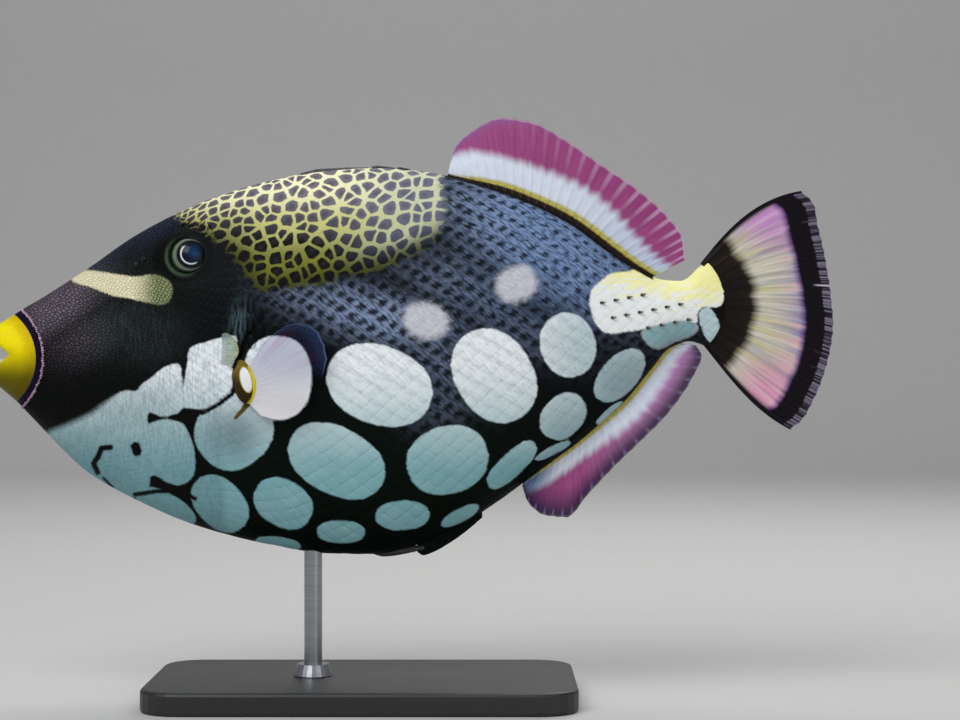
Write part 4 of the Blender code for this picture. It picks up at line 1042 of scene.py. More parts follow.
def stalk_colour(r):
    """The pale patch on the tail stalk: white below, yellow above and behind, in soft patches, with painted
    shade low down.
    """
    patches = r.noise(r.stretched(r.place, 0.35, 1.1, 0.0), 0.45, 3.0)
    golden = ((r.up - 18.5) / 11.0 + (r.along - 92.0) / 60.0 + (patches - 0.5) * 3.0).rise(0.0, 1.0)
    shade = r.blend(golden * 0.95, paint(244, 248, 248), r.shades.stalk_yellow)
    shade = r.blend(patches.rise(0.6, 0.75) * 0.5, shade, paint(255, 255, 236))
    # Painted shade in grey streaks along the scales, low on the patch.
    return r.blend(r.fibres.rise(0.54, 0.72) * 0.25 * r.up.rise(26, 16), shade, paint(150, 160, 160))


def with_band(r, base):
    """A colour with the cream band in front of the eye over it, cobbled by the head's small scales."""
    gaps = r.edges(r.turned(r.place, 24, 0.8), 1.0, 0.7)
    band = (r.value("band") + (r.fine - 0.5) * 0.7 + (gaps - 0.2) * 1.2).rise(0.4, -0.4)
    cream = r.blend(gaps.rise(0.16, 0.03) * 0.55, r.shades.band, paint(128, 112, 70))
    dusky = r.blend(gaps.rise(0.05, 0.3), paint(56, 66, 36), paint(134, 146, 98))
    return r.blend(band, base, r.blend(r.along.rise(-97.0, -86.5) * 0.92, cream, dusky))


def with_mouth(r, base, lips):
    """A colour with the ring round the lips, the yellow lips and the mouth over it; painted shade on lips and
    deep inside.
    """
    inside = r.value("mouth")
    base = r.blend(lips.rise(2.9, 2.3), base, r.shades.ring)
    # Painted shade on the lips towards their rear edge, in patches.
    rear = (lips.rise(-6.0, -0.3) * 0.7 + (r.middling - 0.5) * 0.6).most(0.0)
    lemon = r.blend(rear, r.shades.lip, r.shades.lip_painted_shade)
    # Painted shade on the lower lip.
    lemon = r.blend(r.up.rise(7, -8) * 0.9, lemon, paint(60, 54, 2))
    base = r.blend(lips.rise(0.12, -0.12), base, lemon)
    base = r.blend(inside.rise(0.05, 0.3), base, r.shades.throat)
    # Painted shade deep inside the mouth.
    return r.blend(inside.rise(0.45, 1.0), base, paint(10, 6, 8))


def with_openings(r, base):
    """A colour with painted shade in the pits, the beads with their painted light, and the rims of the orbits
    over it.
    """
    # Painted shade in the nostril pits and along the gill slits.
    base = r.blend(r.value("pit").rise(0.2, 0.8), base, paint(3, 3, 4))
    # Painted light: the beads are paler higher up, and on the nostril rims this colour is a painted
    # highlight.
    shine = r.value("bead") * (0.35 + r.middling * 0.5 + r.up.rise(-10, 16) * 0.25)
    base = r.blend(shine, base, r.shades.bead)
    socket = r.blend(r.fine, paint(3, 8, 6), paint(18, 32, 24))
    return r.blend(r.value("rimmed"), base, r.blend(r.value("low_light"), socket, paint(92, 112, 84)))


def fish_material(name, scaled):
    """Skin or scales: both carry the same markings, and on a scale its middle and rim differ."""
    r = FishRecipe(name)
    along, up, lips = r.along, r.up, r.value("lips")
    base = r.blend(along.rise(-66, -84), ground_colour(r), head_colour(r))
    base = r.blend(r.value("mist") * r.upright.rise(0.36, 0.66) * 0.65, base, paint(92, 116, 124))
    hazy = r.patchy("hazy", 4.0, 3.4).rise(1.5, -1.9)
    base = r.blend(hazy * 0.9, base, r.blend(r.fibres, paint(168, 170, 184), paint(240, 240, 246)))
    base = r.blend(r.patchy("saddle", 2.0, 5.0).rise(1.6, -2.2), base, net_colour(r))
    softness = 0.45 + along.rise(-98, -108) * up.rise(-29.5, -27.0) * 1.3
    pale = (r.frayed("pale", 0.7) / softness).rise(1.0, -1.0)
    base = r.blend(pale, base, spot_colour(r))
    stalk = r.frayed("stalk", 1.4).rise(0.5, -0.5)
    teal = r.frayed("teal", 1.2).rise(0.8, -0.8)
    base = r.blend(stalk.most(teal), base, r.blend(teal, stalk_colour(r), paint(146, 182, 188)))
    base = r.blend(r.value("dots").rise(0.8, 0.35) * along.rise(56, 64) * 0.85, base, paint(26, 30, 26))
    base = with_band(r, base)
    base = r.blend(along.rise(104.5, 107.5) * (1 - stalk) * (1 - pale), base, paint(8, 8, 6))
    # A dark strip along the back under the soft dorsal fin: partly its black base, partly painted shade in
    # the groove.
    base = r.blend(r.frayed("bed", 0.8).rise(1.9, 0.9), base, paint(14, 10, 6))
    flesh = along.rise(-65, -64) * along.rise(-50, -51)
    base = r.blend(r.value("stem").rise(0.3, -0.3) * flesh, base, paint(84, 74, 16))
    base = r.blend(r.value("root").rise(0.3, -0.3) * flesh, base, flesh_colour(r, up))
    base = with_openings(r, with_mouth(r, base, lips))
    r.set(base_color=base, roughness=0.5 + r.fine * 0.2 - lips.rise(1, -1) * 0.15)
    head_relief = along.rise(-70, -84) * r.face_relief * (1 - pale)
    skin_relief = r.fine * 0.5 + r.grains(r.place, 1.1) * 0.25 + r.fibres * 0.5 + head_relief * 1.6
    lip_relief = r.noise(r.stretched(r.place, 1.0, 0.35, 1.0), 2.2, 3.0) * lips.rise(1.5, -1.5)
    relief = skin_relief * lips.rise(-1.5, 1.5) + lip_relief * 0.9
    r.bumped(relief, 0.00014 if scaled else 0.0002, 0.9)
    return r.material


def flesh_colour(r, up):
    """Brown of a breast fin's root, its yellow crescent and the pale oval, in material r."""
    brown = r.blend(up.rise(-2, -9), paint(124, 104, 46), paint(52, 38, 14))
    flesh = r.blend(r.value("crescent").rise(0.3, -0.3), brown, paint(216, 198, 20))
    oval = r.value("oval")
    flesh = r.blend(oval.rise(0.5, 0.1), flesh, paint(180, 166, 60))
    return r.blend(oval.rise(0.1, -0.3), flesh, paint(232, 234, 240))


def ring_shares():
    """Shares of the half girth at the rings' points, closer together at the eye's level."""
    upper = np.linspace(0.0, 0.34, 76)
    lower = np.linspace(0.34, 1.0, 78)[1:]
    return np.concatenate([upper, lower])


def ring_stations():
    """Places of the skin's rings, closer together at the eye and the gills."""
    spans = ((LIPS_END, -90.0, 50), (-90.0, -49.0, 92), (-49.0, 96.0, 142), (96.0, 114.0, 26))
    return np.concatenate([np.linspace(a, b, n, endpoint=False) for a, b, n in spans] + [[114.0]])


def cut_at_tail(points):
    """Draws what lies past the root of the tail fin back to its arc."""
    hub = np.array(TAIL_HUB)
    flat = points[..., [0, 2]] - hub
    distance = np.linalg.norm(flat, axis=-1)
    limit = TAIL_ROOT_RADIUS + 0.4
    past = (points[..., 0] > 100) & (distance > limit)
    scale = np.where(past, limit / np.maximum(distance, 1e-6), 1.0)[..., None]
    points[..., [0, 2]] = hub + flat * scale
    return points


def hermite(start, end, leave, arrive, count):
    """Points on the curve between start and end with those directions, both ends left out."""
    t = np.linspace(0, 1, count + 2)[1:-1].reshape(-1, *[1] * start.ndim)
    return (
        start * (1 + 2 * t) * (1 - t) ** 2 + leave * t * (1 - t) ** 2
        + end * t * t * (3 - 2 * t) + arrive * t * t * (t - 1)
    )


def mouth_rows(turn, ring, heading):
    """Rings of the lips, from deep in the mouth over their roll and back to the head's first ring."""
    front = np.abs(np.cos(turn))
    place, upper, lower, radius = (Curve([(row[0], row[k]) for row in LIP_ROLL])(front) for k in range(1, 5))
    across = np.sin(turn)
    edge = np.stack([place, LIP_SPREAD * across, np.where(np.cos(turn) > 0, upper, lower)], axis=-1)
    radius = radius[:, None]
    tangent = unit(np.roll(edge, -1, axis=0) - np.roll(edge, 1, axis=0))
    backwards = unit(ring - edge)
    outward = np.cross(tangent, backwards)
    radial = np.stack([np.zeros_like(turn), across, np.cos(turn)], axis=-1)
    outward = unit(outward * np.sign(np.sum(outward * radial, axis=-1, keepdims=True)))
    backwards = unit(backwards - outward * np.sum(backwards * outward, axis=-1, keepdims=True))

    roll = []
    for angle in np.radians(np.linspace(235, 0, 19)):
        roll.append(edge + radius * (math.cos(angle) * outward - math.sin(angle) * backwards))
    roll = np.stack(roll)
    gap = np.linalg.norm(ring - roll[-1], axis=-1, keepdims=True)
    skin = hermite(roll[-1], ring, backwards * gap, heading * gap, 12)
    throats = []
    for depth, wide, high in ((-134.5, 0.6, 0.5), (-136.0, 2.6, 2.2), (-138.5, 3.8, 3.2)):
        level = GAPE_LEVEL + high * np.cos(turn)
        throats.append(np.stack([np.full_like(turn, depth), wide * across, level], axis=-1))
    throats = np.stack(throats)
    inner = hermite(throats[-1], roll[0], np.array([-5.0, 0.0, 0.0]), (roll[1] - roll[0]) * 8, 7)
    rows = np.concatenate([throats, inner, roll, skin])
    ramp = (np.linspace(0.85, 0.35, 7), np.linspace(0.3, 0.0, 8))
    inside = np.concatenate([[1.0, 1.0, 0.9], *ramp, np.zeros(23)])
    return rows, inside


def sink_under_orbits(skin, sides):
    """Sinks the skin round the eyes, where the rings of the orbits take its place."""
    for side in SIDES:
        centre, look = eye_frame(side)
        height, distance = from_axis(skin, centre, look)
        under = (sides == side) & (distance < ORBIT_SEAM) & (height > 0)
        skin[under] -= ((ORBIT_SEAM - distance[under]) * 0.9)[:, None] * look


def add_nostril(piece, along, up, side):
    """One nostril: a low rim round a pit."""
    made, faces = lathe(*FLANK.spot(along, up, side), NOSTRIL_PROFILE, NOSTRIL_SIDES)
    # Each ring's painted shade in the pit and painted highlight on the rim.
    pit = np.repeat([row[2] for row in NOSTRIL_PROFILE], NOSTRIL_SIDES)
    shine = np.repeat([row[3] for row in NOSTRIL_PROFILE], NOSTRIL_SIDES)
    piece.add(made, faces, {**marks_at(made, 0.2, side), "pit": pit, "bead": shine, "rim": 0.3})


def build_skin():
    """One closed skin over head, trunk, stalk and lips, with the orbits and the nostrils on it."""
    body = bpy.context.scene.triggerfish_body
    shares = ring_shares()
    last = len(shares) - 1
    share = np.concatenate([shares, shares[last - 1:0:-1]])
    side = np.concatenate([np.ones(last + 1), -np.ones(last - 1)])
    stations = ring_stations()
    columns = len(share)

    along = np.repeat(stations, columns)
    shares_all, sides_all = np.tile(share, len(stations)), np.tile(side, len(stations))
    smooth = FLANK.point(along, shares_all, sides_all)
    normals = FLANK.normal(along, shares_all, sides_all)
    depth = body.skin_depth / MM * (0.25 + 0.75 * smooth_step(along, LIPS_END, LIPS_END + 6))
    skin = sculpted(smooth - normals * depth[:, None], sides_all)
    sink_under_orbits(skin, sides_all)
    skin = cut_at_tail(skin)

    first = skin[:columns]
    heading = unit(skin[columns:2 * columns] - first)
    turn = np.where(side > 0, math.pi * share, 2 * math.pi - math.pi * share)
    rows, inside = mouth_rows(turn, first, heading)
    mouth = rows.reshape(-1, 3)
    points = np.concatenate([mouth, skin])
    total = len(rows) + len(stations)
    flat = np.concatenate([np.tile(share, len(rows)), shares_all])
    sides = np.concatenate([np.tile(side, len(rows)), sides_all])
    marked = np.concatenate([mouth, smooth])
    unwrapped = FLANK.unwrapped(marked[:, 0], flat, sides)
    fields = markings(marked, unwrapped)
    fields["lips"][: len(mouth)] = np.minimum(fields["lips"][: len(mouth)], 6.0)
    fields["mouth"] = np.concatenate([np.repeat(inside, columns), np.zeros(len(skin))])
    # Painted shade along the bottom of the gill slits.
    fields["pit"] = np.concatenate([np.zeros(len(mouth)), gill_shadow(smooth)])
    fields["rim"] = 1.0

    piece = Piece("skin")
    ends = np.stack([np.arange(columns), np.arange(columns)[::-1] + (total - 1) * columns])
    piece.add(points, [quads(total, columns, around=True), ends[:, ::-1]], fields)
    for flank in SIDES:
        add_orbit(piece, flank, body.skin_depth / MM)
        for nostril in NOSTRILS:
            add_nostril(piece, *nostril, flank)
    nodes = ("head", "trunk", "tail_stalk", "upper_lip", "lower_lip")
    return piece.finish(fish_material("fish_skin", False), nodes)


def gill_shadow(points):
    """1 along the bottom of the gill slits."""
    distance = line_distance(points[:, 0], points[:, 2], GILL_SLIT)
    return np.exp(-((distance / 0.7) ** 2)) * (points[:, 0] < -40)


def add_orbit(piece, side, depth):
    """The rim of skin round one eye, in rings that turn down to the eyeball."""
    centre, look = eye_frame(side)
    level = unit(np.cross(look, (0.0, 0.0, 1.0)))
    upright = np.cross(level, look)
    turn = full_turn(96)
    spokes = wheel(level, upright, 96)
    rings, places = [], []
    for radius in (9.4, 9.0, 8.6, 8.2, 7.8, 7.4, 7.1, 6.85, ORBIT_EDGE):
        height = np.full(len(turn), 5.0)
        for _ in range(10):
            there = centre + spokes * radius + height[:, None] * look
            height += FLANK.reach(there[:, 0], there[:, 2]) - side * there[:, 1]
        places.append(centre + spokes * radius + height[:, None] * look)
        lift = 0.05 if radius < 9.2 else -0.5
        risen = orbit_height(height - depth, radius) + lift
        rings.append(centre + spokes * radius + risen[:, None] * look)
    edge = rings[-1]
    for radius, drop in ((6.45, -0.05), (6.33, -0.22), (6.26, -0.5), (6.22, -1.0), (6.2, -2.2)):
        rings.append(edge + spokes * (radius - ORBIT_EDGE) + look * drop)
        places.append(places[-1])
    points, faces = tube(rings)

    def by_ring(numbers, values):
        return np.repeat(np.interp(np.arange(len(rings)), numbers, values), len(turn))

    tailward = np.cos(turn) * np.sign(level[0])
    above = np.tile(np.clip(np.sin(turn) * 0.8 + tailward * 0.6, 0, 1) ** 2, len(rings))
    below = np.tile(np.clip(-np.sin(turn) * 0.5 - tailward * 0.85, 0, 1), len(rings))
    fields = marks_at(np.concatenate(places), 0.2, side)
    fields["rimmed"] = by_ring((2, 6, len(rings) - 1), (0.0, 0.9, 1.0))
    fields["low_light"] = by_ring((2, 5, 8), (0.0, 0.8, 0.2)) * below
    fields["bead"] = by_ring((7, 9, 11), (0.0, 1.0, 0.0)) * above
    piece.add(points, faces, {**fields, "rim": 1.0})


class Lattice:
    """The scales' lattice: columns along the body and rows from the waist, closer together on the head."""

    def __init__(self):
        self.line = np.linspace(HALF_WIDTHS[0][0], HALF_WIDTHS[-1][0], 2001)
        step = self.line[1] - self.line[0]
        size = SCALE_SIZE(self.line[:-1] + step / 2) * SCALE_LENGTH
        self.run = np.concatenate([[0.0], np.cumsum(step / size)])

    def place(self, column, row):
        """Place along and share of the half girth, held at the back and the belly."""
        along = np.interp(column, self.run, self.line)
        girth, waist = FLANK.girth_at(along)
        return along, np.clip(waist + row * SCALE_SIZE(along) / girth, 0.0, 1.0)

    def middles(self, first, last):
        """Columns and rows of all scales whose middles lie between two places along."""
        start, end = (int(np.interp(x, self.line, self.run)) for x in (first, last))
        columns, rows = np.arange(start, end + 1), np.arange(-90, 91)
        column, row = (grid.ravel() for grid in np.meshgrid(columns, rows, indexing="ij"))
        keep = (column + row) % 2 == 0
        column, row = column[keep], row[keep]
        along = np.interp(column, self.run, self.line)
        girth, waist = FLANK.girth_at(along)
        share = waist + row * SCALE_SIZE(along) / girth
        margin = 0.25 * SCALE_SIZE(along) / girth
        keep = (share > margin) & (share < 1 - margin) & (along >= first) & (along < last)
        return column[keep], row[keep]


def bare(points, side):
    """Where no scale grows: at the eye, the lips, the gill slit, the scutes, the breast and the tail fin."""
    _, distance = from_axis(points, *eye_frame(side))
    along, up = points[:, 0], points[:, 2]
    lobe = np.hypot((along - BREAST_ROOT[0]) / 5.0, (up - BREAST_ROOT[1]) / 7.4)
    tail = np.hypot(along - TAIL_HUB[0], up - TAIL_HUB[1])
    scutes = np.min([np.hypot(along - x, up - z) for x, z in SCUTES], axis=0)
    return (
        (distance < SCALES_FROM_EYE) | (lip_distance(along, up) < 3.1) | (lobe < 1)
        | (line_distance(along, up, GILL_SLIT) < 1.5) | (scutes < SCUTE_RADIUS * 0.8)
        | ((along > 100) & (tail > TAIL_ROOT_RADIUS - 0.6))
        | ((along > 92) & (along < 101) & (up > BACK(along) - 2.4))
    )


def lozenge(sides):
    """The (along, round the body) offsets of a scale's corners, a lozenge with rounded corners."""
    turn = full_turn(sides)
    pointed = (np.abs(np.cos(turn)) ** LOZENGE + np.abs(np.sin(turn)) ** LOZENGE) ** (-1 / LOZENGE)
    return np.stack([np.cos(turn), np.sin(turn)]) * pointed


def scale_faces(rings, sides, count):
    """Faces of like scales, each with rings of corners from its skirt up and one point on top."""
    per = rings * sides + 1
    top = np.arange(sides) + (rings - 1) * sides
    cap = np.stack([top, np.roll(top, -1), np.full(sides, per - 1)], axis=-1)
    under = np.arange(sides)[::-1][None, :]
    starts = (np.arange(count) * per)[:, None, None]
    parts = (quads(rings, sides, around=True), cap, under)
    return [(part + starts).reshape(-1, part.shape[1]) for part in parts]


def add_scales(piece, lattice, first, last, side, sides, rng):
    """Scales as domed lozenge plates: a skirt in the skin, a shoulder, and rings up to the middle."""
    body = bpy.context.scene.triggerfish_body
    column, row = lattice.middles(first, last)
    along, share = lattice.place(column, row)
    keep = ~bare(FLANK.point(along, share, side), side)
    column, row, along, share = column[keep], row[keep], along[keep], share[keep]
    count, outline, full = len(column), lozenge(sides), 1 - body.groove
    rings = ((full, -0.5), (full - 0.05, 0.22), (full - 0.26, 0.7), (0.4, 0.95))
    if sides == HEAD_SIDES:
        rings = ((full, -0.5), (full - 0.12, 0.5), (0.5, 0.95))
    size = np.interp(along, (-140, -84, -66, -50, -20, 114), (0.2, 0.3, 0.5, 0.9, 1.0, 0.8))
    rise = body.scale_rise / MM * size * rng.uniform(0.85, 1.15, count)
    swell = rng.uniform(0.96, 1.04, count)
    wander = rng.uniform(-1, 1, (2, count)) * np.interp(along, (-80, -40), (0.2, 0.06))
    root, corner = FLANK.point(along, share, side), bake_corner(along, share, side)
    gathered = {"points": [], "places": [], "flats": [], "patches": [], "rims": [], "gleams": []}
    for ring, height in (*rings, (0.0, 1.06)):
        offsets = outline * ring if ring else np.zeros((2, 1))
        corners = offsets.shape[1]
        a = (column + wander[0])[:, None] + offsets[0] * swell[:, None]
        b = (row + wander[1])[:, None] + offsets[1] * swell[:, None]
        at, level = lattice.place(a.ravel(), b.ravel())
        ground = FLANK.point(at, level, side)
        tilt = 1 + 0.3 * np.tile(offsets[0], count)
        lift = np.repeat(rise, corners) * height * np.where(height > 0, tilt, 1.0) - body.skin_depth / MM
        made = {
            "points": ground + FLANK.normal(at, level, side) * lift[:, None],
            "places": ground * 0.93 + np.repeat(root, corners, axis=0) * 0.07,
            "flats": FLANK.unwrapped(at, level, side),
            "patches": np.repeat(corner, corners, axis=0) + 0.0015 * np.tile(offsets.T, (count, 1)),
            "rims": np.full(count * corners, ring / full),
            "gleams": np.tile(1 - np.abs(offsets[0] - offsets[1]), count),
        }
        for name, values in made.items():
            gathered[name].append(values.reshape(count, corners, -1))
    joined = {name: np.concatenate(parts, axis=1) for name, parts in gathered.items()}
    joined = {name: values.reshape(-1, values.shape[-1]) for name, values in joined.items()}
    shaped = sculpted(joined["points"], np.full(len(joined["points"]), side))
    fields = markings(joined["places"], joined["flats"])
    fields = {**fields, "rim": joined["rims"][:, 0], "gleam": joined["gleams"][:, 0]}
    piece.add(shaped, scale_faces(len(rings), sides, count), fields, joined["patches"])


def small_patch(points, centre, corner, size):
    """A small shape's patch in the bake's picture, at its corner there."""
    return np.tile(corner, (len(points), 1)) + size * (points[:, [0, 2]] - centre[[0, 2]])


def add_scutes(piece, side):
    """The enlarged plates behind the gill opening."""
    rim = 0.5 * np.repeat([row[2] for row in SCUTE_PROFILE], SCUTE_SIDES)
    for x, z in SCUTES:
        centre, axis = FLANK.spot(x, z, side)
        points, faces = lathe(centre, axis, SCUTE_PROFILE, SCUTE_SIDES)
        points[:, 2] += (points[:, 2] - centre[2]) * 0.55
        patch = small_patch(points, centre, bake_corner(x, FLANK.share_at(x, z), side), 0.0006)
        piece.add(points, faces, {**marks_at(points, 0.42, side), "rim": rim}, patch)


def add_beads(piece, rng):
    """The row of pale beads round the head, just behind the ring round the lips."""
    share = np.linspace(0, 1, 400)
    along = np.full(400, -135.0)
    for _ in range(40):
        up = FLANK.point(along, share, 1)[:, 2]
        reach = np.sqrt(np.maximum((LIP_EDGE[2] + BEAD_RING) ** 2 - (up - LIP_EDGE[1]) ** 2, 0.0))
        along = along + 0.3 * (LIP_EDGE[0] + reach - along)
    for side in SIDES:
        path = FLANK.point(along, share, side)
        run = np.concatenate([[0.0], np.cumsum(np.linalg.norm(np.diff(path, axis=0), axis=1))])
        for at in np.arange(BEAD_PITCH / 2, run[-1], BEAD_PITCH):
            s, x = np.interp(at, run, share), np.interp(at, run, along)
            size = rng.uniform(0.75, 1.3)
            centre = FLANK.point(x, s, side) + (rng.uniform(-0.18, 0.18), 0.0, 0.0)
            profile = [(radius * size, height * size) for radius, height in BEAD_PROFILE]
            points, faces = lathe(centre, FLANK.normal(x, s, side), profile, 8)
            patch = small_patch(points, centre, bake_corner(x, s, side), 0.001)
            piece.add(points, faces, {**marks_at(points, s, side), "bead": 1.0}, patch)


def build_scales():
    lattice = Lattice()
    material = fish_material("fish_scales", True)
    rng = np.random.default_rng(SEED)
    for side, name in ((-1, "left"), (1, "right")):
        head = Piece(f"head_scales_{name}")
        add_scales(head, lattice, -142.0, HEAD_END, side, HEAD_SIDES, rng)
        head.finish(material)
        flank = Piece(f"flank_scales_{name}")
        add_scales(flank, lattice, HEAD_END, 112.0, side, FLANK_SIDES, rng)
        add_scutes(flank, side)
        flank.finish(material)
    beads = Piece("lip_beads")
    add_beads(beads, rng)
    beads.finish(material)


def build_thorns():
    """Small hooked spines in rows on the tail stalk."""
    r = Recipe("thorn", coat_weight=0.2)
    tip = r.value("tip")
    shade = r.blend(tip.rise(0.2, 0.9), paint(20, 20, 18), paint(120, 112, 84))
    r.set(base_color=shade, roughness=0.4 + tip * 0.1)
    r.bumped(r.noise(r.vector("place"), 3.0), 0.0001)
    piece = Piece("stalk_thorns")
    for side in SIDES:
        for x, z in thorn_places():
            root, normal = FLANK.spot(x, z, side)
            rings = []
            for k, (along, height, radius) in enumerate(THORN_PROFILE):
                middle = root + normal * height + np.array([along, 0.0, 0.0])
                axis = unit(normal * (1 - 0.16 * k) + np.array([0.3 * k, 0.0, 0.0]))
                level = unit(np.cross(axis, (0.0, 0.0, 1.0)))
                rings.append(middle + radius * wheel(level, np.cross(axis, level), THORN_SIDES))
            points, faces = tube(rings)
            tips = np.repeat(np.linspace(0, 1, len(rings)), THORN_SIDES)
            piece.add(points, faces, {"tip": tips, "place": points})
    return piece.finish(r.material)


def build_teeth():
    """Chisel-edged teeth round both jaws."""
    shades = bpy.context.scene.triggerfish_colours
    r = Recipe("tooth_enamel", coat_weight=0.4, coat_roughness=0.12, subsurface_weight=0.1)
    tip = r.value("tip")
    ivory = r.blend(tip.rise(0.1, 0.7), paint(176, 150, 104), shades.teeth)
    r.set(base_color=ivory, roughness=0.26 + r.noise(r.vector("place"), 1.4) * 0.12)
    r.bumped(r.noise(r.stretched(r.vector("place"), 1.0, 1.0, 0.2), 3.0), 0.00008)
    piece = Piece("teeth")
    centre_along, reach_x, reach_y = TOOTH_ARC
    wide, deep = TOOTH_SIZE
    corner = full_turn(16)
    square = (np.abs(np.cos(corner)) ** 4 + np.abs(np.sin(corner)) ** 4) ** -0.25
    for root, tip_level in (UPPER_TOOTH, LOWER_TOOTH):
        for k in range(TEETH_PER_JAW):
            angle = TOOTH_SPREAD * (2 * k / (TEETH_PER_JAW - 1) - 1)
            facing = np.array([-math.cos(angle), math.sin(angle), 0.0])
            across = np.array([facing[1], -facing[0], 0.0])
            middle = np.array([centre_along - reach_x * math.cos(angle), reach_y * math.sin(angle), 0.0])
            rings = []
            for share, w, d in TOOTH_PROFILE:
                level = root + (tip_level - root) * share
                ring = (np.cos(corner) * square)[:, None] * across * wide * w / 2
                ring = ring + (np.sin(corner) * square)[:, None] * facing * deep * d / 2
                rings.append(middle + ring + np.array([0.0, 0.0, level]))
            points, faces = tube(rings)
            tips = np.repeat([row[0] for row in TOOTH_PROFILE], len(corner))
            piece.add(points, faces, {"tip": tips, "place": points})
    return piece.finish(r.material)


def build_eyes():
    """Eyeballs: a dark pupil with a painted sheen and a painted highlight arc, a pale ring, a dark outer
    iris, a clear coat.
    """
    body = bpy.context.scene.triggerfish_body
    shades = bpy.context.scene.triggerfish_colours
    r = Recipe("eye_surface", coat_weight=0.22, coat_roughness=0.06, roughness=0.35, specular_ior_level=0.1)
    gaze, ringed = r.value("gaze"), r.value("ringed")
    streak = r.noise(r.vector("place"), 1.6, 4.0)
    wobble = (streak - 0.5) * 0.35
    pupil, iris = body.pupil_radius / MM, body.iris_radius / MM
    # Painted reflections in the pupil: a blue sheen and a pale highlight arc.
    inner = r.blend(r.value("sheen"), shades.pupil, paint(8, 56, 96))
    painted_arc_highlight = abs(gaze - HIGHLIGHT_ARC_RADIUS).rise(0.34, 0.12) * r.value("bearing").rise(-0.1, 0.3)
    inner = r.blend(painted_arc_highlight, inner, paint(214, 226, 234))
    ring = r.blend(streak, shades.iris, paint(76, 90, 72))
    base = r.blend((ringed + wobble).rise(iris - 0.9, iris - 0.2), ring, paint(6, 18, 12))
    base = r.blend((gaze + wobble).rise(pupil + 1.0, pupil + 0.5), base, paint(5, 9, 8))
    base = r.blend((gaze + wobble * 0.4).rise(pupil + 0.2, pupil - 0.1), base, inner)
    r.set(base_color=base)
    for side, name in ((-1, "eye_left"), (1, "eye_right")):
        centre, look = eye_frame(side)
        radius = body.eye_radius / MM
        angles = np.radians(np.linspace(0.4, 179.6, 150))
        profile = [(radius * math.sin(a), radius * math.cos(a)) for a in angles]
        points, faces = lathe(centre, look, profile, 120)
        rel = points - centre
        fields = {"place": rel}
        for field, lean in (("gaze", PUPIL_LEAN), ("ringed", RING_LEAN)):
            aim = unit(look + np.array([lean, 0.0, 0.02]))
            flat = rel - (rel @ aim)[:, None] * aim
            fields[field] = np.where(rel @ aim > 0, np.linalg.norm(flat, axis=-1), 9.0)
            if field == "gaze":
                fields["bearing"] = unit(flat) @ unit(np.array([-0.8, 0.0, -0.6]))
        glint = rel - np.array([2.2, 0.0, 1.9])
        fields["sheen"] = np.clip(1 - np.linalg.norm(glint[:, [0, 2]], axis=-1) / 3.2, 0, 1)
        piece = Piece(f"{name}_ball")
        piece.add(points, faces, fields)
        piece.finish(r.material, (name,))


def spine_material():
    r = Recipe("spine_bone", coat_weight=0.1, roughness=0.45)
    place = r.vector("place")
    fine = r.noise(place, 1.8, 4.0)
    shade = r.blend(fine.rise(0.35, 0.7), paint(22, 22, 26), paint(74, 72, 78))
    r.set(base_color=r.blend(r.value("tip").rise(0.6, 1.0) * 0.6, shade, paint(126, 118, 104)))
    r.bumped(r.grains(place, 1.6) + fine * 0.5, 0.0002)
    return r.material


def rod_rings(points, radii, sides=16, knobs=None):
    """Rings round a line of points that runs mostly along the fish."""
    spokes = wheel(np.array([0.0, 1.0, 0.0]), np.array([0.0, 0.0, 1.0]), sides)
    rings = []
    for k, (point, radius) in enumerate(zip(points, radii)):
        rough = 1.0 if knobs is None else 1 + knobs[k]
        rings.append(point + spokes * radius * rough)
    return rings


def build_dorsal_spines():
    """The folded spines in their bed, the first stout with a rough front."""
    material = spine_material()
    rng = np.random.default_rng(SEED + 1)
    for number, (start, end, radius, depth) in enumerate(DORSAL_SPINES, start=1):
        share = np.linspace(0, 1, 40)
        along = start + (end - start) * share
        up = BACK(along) - depth * (1 - 0.3 * share)
        radii = radius * np.minimum(1.0, 0.55 + 1.8 * share) * (1 - 0.72 * share)
        knobs = rng.uniform(-0.03, 0.07, (40, 16, 1)) if number == 1 else None
        points = np.stack([along, np.zeros(40), up], axis=-1)
        made, faces = tube(rod_rings(points, radii, 16, knobs))
        piece = Piece(f"folded_spine_{number}")
        piece.add(made, faces, {"place": made, "tip": np.repeat(share, 16)})
        piece.finish(material, (f"dorsal_spine_{number}",))


def add_vane(piece, middle, half, fields):
    """A thin closed vane from a grid of middle points, columns by rows, and half its thickness at each."""
    across = np.gradient(middle, axis=0)
    outwards = np.gradient(middle, axis=1)
    normal = unit(np.cross(across, outwards))
    columns, rows = middle.shape[:2]
    front = (middle + normal * half[..., None]).reshape(-1, 3)
    back = (middle - normal * half[..., None]).reshape(-1, 3)
    number = np.arange(columns * rows).reshape(columns, rows)
    rim = np.concatenate([number[:-1, 0], number[-1, :-1], number[:0:-1, -1], number[0, :0:-1]])
    after = np.roll(rim, -1)
    total = columns * rows
    sheet = quads(columns, rows)
    edge = np.stack([rim, rim + total, after + total, after], axis=-1)
    faces = [np.concatenate([sheet, sheet[:, ::-1] + total, edge])]
    flat = {name: np.asarray(value, float).reshape(total, -1) for name, value in fields.items()}
    doubled = {name: np.concatenate([value, value]) for name, value in flat.items()}
    doubled = {name: value if value.shape[1] == 3 else value[:, 0] for name, value in doubled.items()}
    piece.add(np.concatenate([front, back]), faces, doubled)


